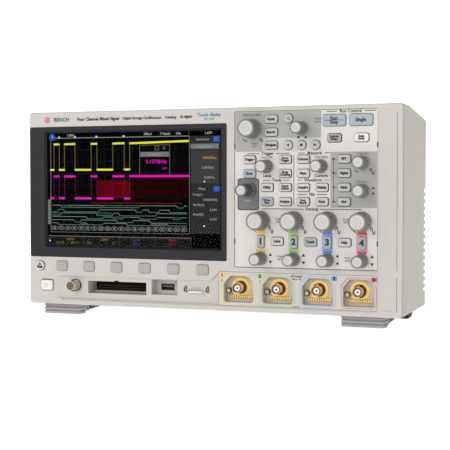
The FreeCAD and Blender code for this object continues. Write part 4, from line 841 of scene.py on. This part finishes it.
# Waves beside the knobs: across and up from the knob's axis, width, height, line
WAVES = {
    "knob_scale": ((-6.6, -9.4, 3.2, 1.8, 0.55), (9.8, -8.2, 4.6, 6.4, 0.75)),
    "knob_math_scale": ((-6.0, -7.6, 3.0, 2.2, 0.6), (8.6, -8.0, 3.8, 5.4, 0.7)),
    "knob_horizontal_scale": ((-7.6, -10.8, 3.8, 2.2, 0.6), (9.0, -10.6, 3.2, 2.6, 0.8)),
}
TREE_X = 127.3                    # the line that joins the math keys


def make_panel_print():
    ink = Print(PANEL_Y, LEGEND_LAYER)
    for title, x0, x1, z, gap_left, gap_right in HEADINGS:
        ink.text(title, (gap_left + gap_right) / 2, z, 4.0, 0.1)
        ink.bar(x0, gap_left, z, 0.6).bar(gap_right, x1, z, 0.6)
    ink.text("Level", 63.6, 139.4, 3.7, 0.12).text("Cursors", 115.6, 139.4, 3.7, 0.12)
    ink.post(TREE_X, 115.5, 154.5, 0.45)
    for x, z, half_w, half_h, y in solids_of("math_keys"):
        ink.dot(TREE_X, z, 0.95).bar(TREE_X, 130.2, z, 0.4)
    for prefix, arrows in ARROWS.items():
        for x, z in knob_centres(prefix):
            for way, across, up, size in arrows:
                triangle(ink, x + across, z + up, size, way)
    for prefix, waves in WAVES.items():
        for x, z in knob_centres(prefix):
            for across, up, width, height, line in waves:
                wave_glyph(ink, x + across, z + up, width, height, line)
    ink.make("panel_legends", "ink")
    make_small_print()


def make_small_print():
    """The quieter legends: what a press on each knob does."""
    faint = Print(PANEL_Y, LEGEND_LAYER)
    heading = Print(PANEL_Y, LEGEND_LAYER).text("Horizontal", 48.5, 196.6, 4.0, 0.04)
    heading.post(89.5, 112.0, 159.5, 0.6).make("horizontal_heading", "ink_mid")
    scales = knob_centres("knob_scale")
    positions = knob_centres("knob_position")
    for n in (1, 3):
        faint.text("Push\nfine", scales[n][0] - 15.2, scales[n][1] + 0.6, 3.0, 0.06)
        faint.text("Push\nzero", positions[n][0] - 13.2, positions[n][1] + 1.0, 3.0, 0.06)
    faint.text("Push\nfine", 51.0, 168.4, 3.0, 0.06).text("Push\nzero", 112.5, 190.2, 3.3, 0.08)
    faint.text("Push 50%", 63.6, 156.6, 2.8, 0.05).text("Push select", 115.6, 156.6, 2.8, 0.05)
    faint.text("Push fine", 154.4, 159.4, 2.9, 0.05).text("Push zero", 154.4, 133.9, 2.9, 0.05)
    faint.make("panel_small_print", "ink_grey")
    x, z = knob_centres("knob_entry")[0]
    turn = arc(x, z, 8.3, -48, 96, 16)
    arrow = Print(PANEL_Y, LEGEND_LAYER).stroke(turn, 0.9)
    triangle(arrow, turn[-1][0] - 0.3, turn[-1][1] + 0.2, 1.3, "up")
    arrow.make("entry_arrow", "ink")
    Print(PANEL_Y, LEGEND_LAYER).text("select", x, z - 9.6, 2.6).make("entry_small_print", "zone_light")


def capsule_loop(x, z0, z1, waist, tip):
    """A tall pill that is widest in the middle and narrows to its ends."""
    side = []
    for n in range(13):
        t = n / 12
        bulge = min(1.0, math.sin(math.pi * t) * 1.6)
        side.append((tip + (waist - tip) * bulge, z0 + (z1 - z0) * t))
    return [(x + w, z) for w, z in side] + [(x - w, z) for w, z in reversed(side)]


def make_channel_pills():
    """The coloured pill behind each channel's key, paler close to the key."""
    for colour, tip, solid in zip(COLOURS, (4.3, 4.0, 3.6, 3.6), solids_of("channel_keys")):
        pill = Print(PANEL_Y, ZONE_LAYER).loop(capsule_loop(solid[0], 66.8, 89.6, 5.2, tip))
        pill.make("pill_" + colour, colour)
        pale = Print(PANEL_Y, UPPER_ZONE_LAYER).loop(round_key(solid, (1.3, 1.3, 1.4, 1.4), 2.0))
        pale.make("pill_glow_" + colour, "pale_" + colour)


def make_knob_groove_shades():
    """Painted shade: dark strips along the bottoms of the flutes round each knob."""
    section = ((-0.4, 0.0), (0.4, 0.0), (0.4, -0.4), (-0.4, -0.4))
    for node, (x, z), front, back, width in knobs():
        nose, skirt, flutes = (8.1, 8.7, 28) if width > LARGE_KNOB else (5.6, 5.9, 20)
        work = bmesh.new()
        for n in range(flutes):
            turn = 2 * math.pi * n / flutes
            corners = []
            for y, reach in ((front + 0.9, nose), (back - 2.6, skirt)):
                for side, rise in section:
                    across = x + (reach + rise) * math.cos(turn) - side * math.sin(turn)
                    up = z + (reach + rise) * math.sin(turn) + side * math.cos(turn)
                    corners.append(work.verts.new((across * MM, y * MM, up * MM)))
            for a in range(4):
                b = (a + 1) % 4
                work.faces.new([corners[a], corners[b], corners[b + 4], corners[a + 4]])
            work.faces.new(corners[:4])
            work.faces.new(corners[4:])
        bmesh.ops.recalc_face_normals(work, faces=work.faces)
        look = "groove_dark" if node == "knob_entry" else "groove"
        finish_piece(node + "_grooves", work, look, node)


def make_knob_caps():
    """The pale dished disc set into each knob's face, its raised rim and a darker ring round the knob's
    front edge.
    """
    for node, centre, front, back, width in knobs():
        radius, nose = (6.4, 8.2) if width > LARGE_KNOB else (4.15, 5.7)
        ring = radius - 1.1
        edge = [(nose - 0.72, -0.02), (nose + 0.03, 0.72), (nose - 0.2, 1.0), (nose - 0.9, 0.4),
                (nose - 0.72, -0.02)]
        cap = [(0, 0.3), (radius * 0.5, 0.24), (ring, 0.1), (ring, 0.6), (0, 0.6)]
        rim = [(ring, 0.5), (ring, 0.06), (ring + 0.3, -0.02), (radius - 0.3, -0.02), (radius, 0.15),
               (radius, 0.6), (ring, 0.5)]
        for part, look, profile in (("_edge", "knob_edge", edge), ("_cap", "cap", cap),
                                    ("_cap_rim", "cap_rim", rim)):
            lathe(node + part, centre, front, profile, look, node)


# ---- front connectors
def pocket_loop(x, grow):
    """The outline of an input pocket, as in the panel moulding, grown outwards."""
    left, right, low, high = x - 14.1 - grow, x + 15.9 + grow, 19.6 - grow, 45.2 + grow
    soft, round_corner = 3.0 + grow, 9.0 + grow
    return rounded([(left, low, soft), (right, low, soft), (right, high, round_corner),
                    (left + 6.5, high, soft), (left, high - 7.5, soft)])


def rounded(corners, steps=5):
    """A polygon with each corner rounded; corners are (x, z, radius), anticlockwise."""
    loop = []
    count = len(corners)
    for n, (x, z, radius) in enumerate(corners):
        here = Vector((x, z))
        before = Vector(corners[n - 1][:2])
        after = Vector(corners[(n + 1) % count][:2])
        back, on = (before - here).normalized(), (after - here).normalized()
        half = back.angle(on) / 2
        reach = radius / math.tan(half)
        centre = here + (back + on).normalized() * radius / math.sin(half)
        start, end = here + back * reach - centre, here + on * reach - centre
        first, sweep = math.atan2(start.y, start.x), -start.angle_signed(end)
        loop += arc(*centre, radius, math.degrees(first), math.degrees(sweep), steps)
    return loop


def make_input_print():
    for colour, jack in zip(COLOURS, sorted(solids_of("channel_jacks"))):
        x = jack[0]
        line_in, line_out = (1.0, 1.5) if colour == "red" else (1.6, 2.0)
        if colour != "red":
            tint = Print(INPUT_Y, ZONE_LAYER).loop(pocket_loop(x, 2.6), pocket_loop(x, 0.2))
            tint.make("input_tint_" + colour, "tint_" + colour)
        outline = Print(INPUT_Y, UPPER_ZONE_LAYER).loop(pocket_loop(x, line_out), pocket_loop(x, line_in))
        outline.make("input_outline_" + colour, "line_" + colour)
    ink = Print(INPUT_Y, LEGEND_LAYER)
    for n, (x, colour) in enumerate(((18.6, "orange"), (56.5, "green"), (128.3, "blue"), (165.2, "red"))):
        tag = Print(INPUT_Y, SURROUND_LAYER).patch(x, 45.1, 2.7, 2.1, 0.8)
        tag.make("input_tag_" + colour, "tag_" + colour)
        ink.text(str(n + 1), x, 45.1, 4.2, 0.34)
    ink.text("X", 18.6, 40.2, 2.6, 0.06).text("Y", 56.5, 40.2, 2.6, 0.06)
    ink.text("All inputs", 92.2, 46.2, 2.9, 0.05).text("1M or 50", 92.2, 43.4, 2.5, 0.03)
    ink.text("ground", 92.2, 17.9, 2.1, 0.02).make("input_legends", "ink")


def make_pocket_painted_linings():
    """Painted light: a paler layer on the walls and floor of each input pocket, so that they read as lit
    inside.
    """
    floor_y = back_of("probe_contacts")
    for n, jack in enumerate(sorted(solids_of("channel_jacks"))):
        x, name = jack[0], "pocket_%d_" % (n + 1)
        painted_lining = Print(floor_y, floor_y - INPUT_Y - 0.3).loop(pocket_loop(x, -0.04), pocket_loop(x, -0.3))
        painted_lining.make(name + "wall", "pocket", slot="panel_overlay")
        floor = Print(floor_y, 0.05).loop(pocket_loop(x, -0.2))
        floor.make(name + "floor", "pocket", slot="panel_overlay")


COLLAR = [(4.95, -0.9), (4.95, -2.4), (5.1, -2.6), (5.9, -2.6), (6.1, -2.3), (6.1, -0.9), (4.95, -0.9)]
SENSE_RING = [(1.85, -0.2), (1.85, -4.6), (2.0, -4.8), (2.4, -4.8), (2.6, -4.4), (2.6, -0.2)]
SENSE_PIN = [(1.8, -4.42), (1.2, -4.56), (0.5, -4.6), (0.0, -4.6)]
GENERATOR_COLLAR = [(5.3, 1.9), (5.3, 0.3), (6.2, 0.3), (6.2, 1.9)]


def make_jack_details():
    """Black collar, pale insulator, and painted shade in the centre hole and on the tip and bore of each
    coaxial jack.
    """
    floor_y = back_of("probe_contacts")
    for n, (x, z, half_w, half_h, y) in enumerate(sorted(solids_of("channel_jacks"))):
        name = "jack_%d_" % (n + 1)
        lathe(name + "collar", (x, z), floor_y, COLLAR, "dark_metal")
        jack_core(name, x, z, y, "ptfe", 3.1, 4.7, 0.5)
        sense = (x - SENSE_OFFSET, SENSE_Z)
        lathe(name + "sense_ring", sense, floor_y, SENSE_RING, "dark_metal", steps=40)
        lathe(name + "sense_pin", sense, floor_y, SENSE_PIN, "cabinet", steps=24)
    x, z, half_w, half_h, y = min(solids_of("auxiliary_jacks"), key=lambda jack: jack[4])
    # the generator's insulator is darkened: painted shade in the deep bore
    jack_core("generator_", x, z, y, "bronze", 3.7, 4.25, 0.0)
    lathe("generator_collar", (x, z), PANEL_Y, GENERATOR_COLLAR, "dark_metal")
    lugs = Print(y + 6.0, 2.2)
    for lug_z in (z + 5.2, z - 5.2):
        lugs.patch(x, lug_z, 1.1, 0.6, 0.3)
    lugs.make("generator_lugs", "dark_metal")


def jack_core(name, x, z, tip_y, filling, reach, rim, shift):
    """The insulator inside a jack's barrel, with painted shade: a black cup in its centre hole and a dark
    ring over the barrel's tip and bore.
    """
    centre, inner = (x + shift, z), reach - shift
    insulator = [(0.9, 3.0), (0.9, 0.5), (1.3, 0.3), (reach - 0.3, 0.3), (reach, 0.5), (reach, 7.0)]
    lathe(name + "insulator", centre, tip_y, insulator, filling)
    # painted shade: a black cup in the centre hole
    socket = [(0.88, 3.0), (0.88, 0.5), (0.0, 0.8)]
    lathe(name + "socket", centre, tip_y, socket, "black", steps=32)
    # painted shade: a dark ring over the tip and the inside of the barrel
    bore_shade = [(inner, 1.4), (inner, 0.4), (inner + 0.3, 0.35), (rim - 0.2, -0.08), (rim, 0.1), (rim, 1.4)]
    lathe(name + "rim", (x, z), tip_y, bore_shade, "dark_metal")


def make_usb_details():
    """The front USB port: black painted shade on its inside walls and back, its tongue, contacts and edge.
    """
    x, z, half_w, half_h, mouth = min(solids_of("usb_ports"), key=lambda port: port[4])
    inner_w, inner_h = half_w - 0.47, half_h - 0.47
    # painted shade: black over the metal walls inside the port, and over its back
    painted_lining = Print(mouth + 6.0, 5.9)
    painted_lining.frame(x - inner_w, x + inner_w, z - inner_h, z + inner_h, 0.2)
    painted_lining.make("usb_lining", "black", slot="black_plastic")
    back = Print(mouth + 6.05, 0.1).patch(x, z, inner_w, inner_h)
    back.make("usb_back", "black", slot="black_plastic")
    tongue = Print(mouth + 5.9, 5.0).box(x - 5.5, x + 5.5, z + 0.1, z + 1.7, 0.3)
    tongue.make("usb_tongue", "black", slot="black_plastic")
    edge = Print(mouth).frame(x - half_w - 0.1, x + half_w + 0.1, z - half_h - 0.1, z + half_h + 0.1, 0.6)
    edge.make("usb_edge", "black")
    contacts = Print(mouth + 0.88, 0.05)
    for n in range(4):
        contacts.box(x - 4.4 + 2.6 * n, x - 3.4 + 2.6 * n, z + 0.3, z + 0.9)
    contacts.make("usb_contacts", "ptfe", slot="white_keys")


def make_port_details():
    """The header's pins, the white ground bar, and painted shade: a grey strip along the header's sill, a
    dark line along the bar's top, and black over the compensation loops and the slots behind them.
    """
    make_usb_details()
    low, high = (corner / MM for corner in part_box("digital_connector"))
    pins = Print(low.y - 0.01, 0.3)
    for n in range(20):
        for row in (1, -1):
            pins.patch((low.x + high.x) / 2 + (n - 9.5) * PIN_PITCH,
                       (low.z + high.z) / 2 + row * PIN_PITCH / 2, 0.36, 0.36, 0.1)
    pins.make("digital_pins", "pin", slot="gold_plate")
    # painted shade along the bottom of the header
    sill_shade = Print(low.y - 0.02, 0.35).box(low.x, high.x, low.z, low.z + 2.2)
    sill_shade.make("digital_sill", "shadow_floor", slot="bezel_plastic")
    *loops, (x, z, half_w, half_h, y) = sorted(solids_of("comp_terminals"), key=lambda solid: solid[2])
    left, right, bottom, top = x - half_w - 0.05, x + half_w + 0.05, z - half_h - 0.05, z + half_h
    Print(y, 0.1).box(left, right, bottom, top - 0.9).make("ground_bar", "key_white", slot="white_keys")
    # painted shade: a dark line along the top of the ground bar
    Print(y, 0.1).box(left, right, top - 0.88, top - 0.3).make("ground_bar_line", "ink")
    # painted shade: black over the slots behind the compensation loops and over the loops' metal fronts
    slot_shade, front_shade = Print(PANEL_Y + RECESS_DEPTH), Print(loops[0][4])
    for x, z, half_w, half_h, y in loops:
        slot_shade.patch(x, z, 0.8, 3.3, 0.3)
        front_shade.patch(x, z, half_w, half_h)
    slot_shade.make("comp_slots", "black")
    front_shade.make("comp_loop_fronts", "black")


def make_seam_shade():
    """Painted shade: a black piece at the bottom of the gap between the bezel and the cabinet, standing in
    for the shade in it.
    """
    low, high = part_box("control_panel")[0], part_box("front_bezel")[1]
    half, top, bottom = high.x / MM, high.z / MM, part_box("front_bezel")[0].z / MM
    front, back = SEAM
    seam = Print(PANEL_Y + back, back - front)
    seam.loop(box_loop(-half + 0.1, half - 0.1, bottom + 0.1, top - 0.1, 1.5),
              box_loop(-half + 3.2, half - 3.2, bottom + 3.2, top - 3.2, 0.8))
    seam.make("cabinet_seam", "black", slot="black_plastic")


def make_rear_print():
    """Plain names beside the rear connectors."""
    y = back_of("rear_panel")
    ink = Print(y, faces=1)
    for words, x, z in (("TRIG OUT", 70.0, 42.0), ("EXT TRIG", 96.0, 42.0), ("USB HOST", 122.0, 42.0),
                        ("USB", 146.0, 42.0), ("AC", -116.0, 38.0)):
        ink.text(words, x, z, 3.4, 0.06)
    ink.make("rear_names", "ink")
    Print(y + 1.5, faces=1).text("INTERFACE", -15.0, 50.0, 3.6, 0.06).make("module_name", "ink")


def make_bezel_print():
    """Plain words along the top of the bezel, after a ring with a dot in it."""
    badge = Print(PANEL_Y).ring(-169.4, 196.1, 2.9, 1.9).dot(-169.4, 196.1, 1.0)
    badge.make("bezel_badge", "badge")
    words = Print(PANEL_Y)
    words.text("BENCH", -153.4, 196.1, 5.4, 0.14)
    words.text("Four Channel Mixed Signal", -112.6, 196.1, 4.3, 0.2)
    words.text("Digital Storage Oscilloscope", -65.2, 196.1, 3.6, 0.16)
    words.text("4 analog", -34.6, 196.2, 3.5, 0.18).text("16 digital", -18.6, 196.3, 3.5, 0.18)
    words.make("bezel_words", "ink")
    note = Print(PANEL_Y).text("Touch display", 5.4, 197.6, 4.3, 0.2).text("8.5 inch", 5.4, 193.6, 3.3, 0.1)
    note.make("bezel_note", "teal_ink")


# ---- build
make_camera()
make_materials()
make_lights()
make_floor()
dress_frame()
make_screen()
make_zones()
make_key_gaps_and_shadows()
make_blue_caps()
make_panel_print()
make_channel_pills()
make_key_legends()
make_knob_groove_shades()
make_knob_caps()
make_input_print()
make_pocket_painted_linings()
make_jack_details()
make_port_details()
make_seam_shade()
make_rear_print()
make_bezel_print()
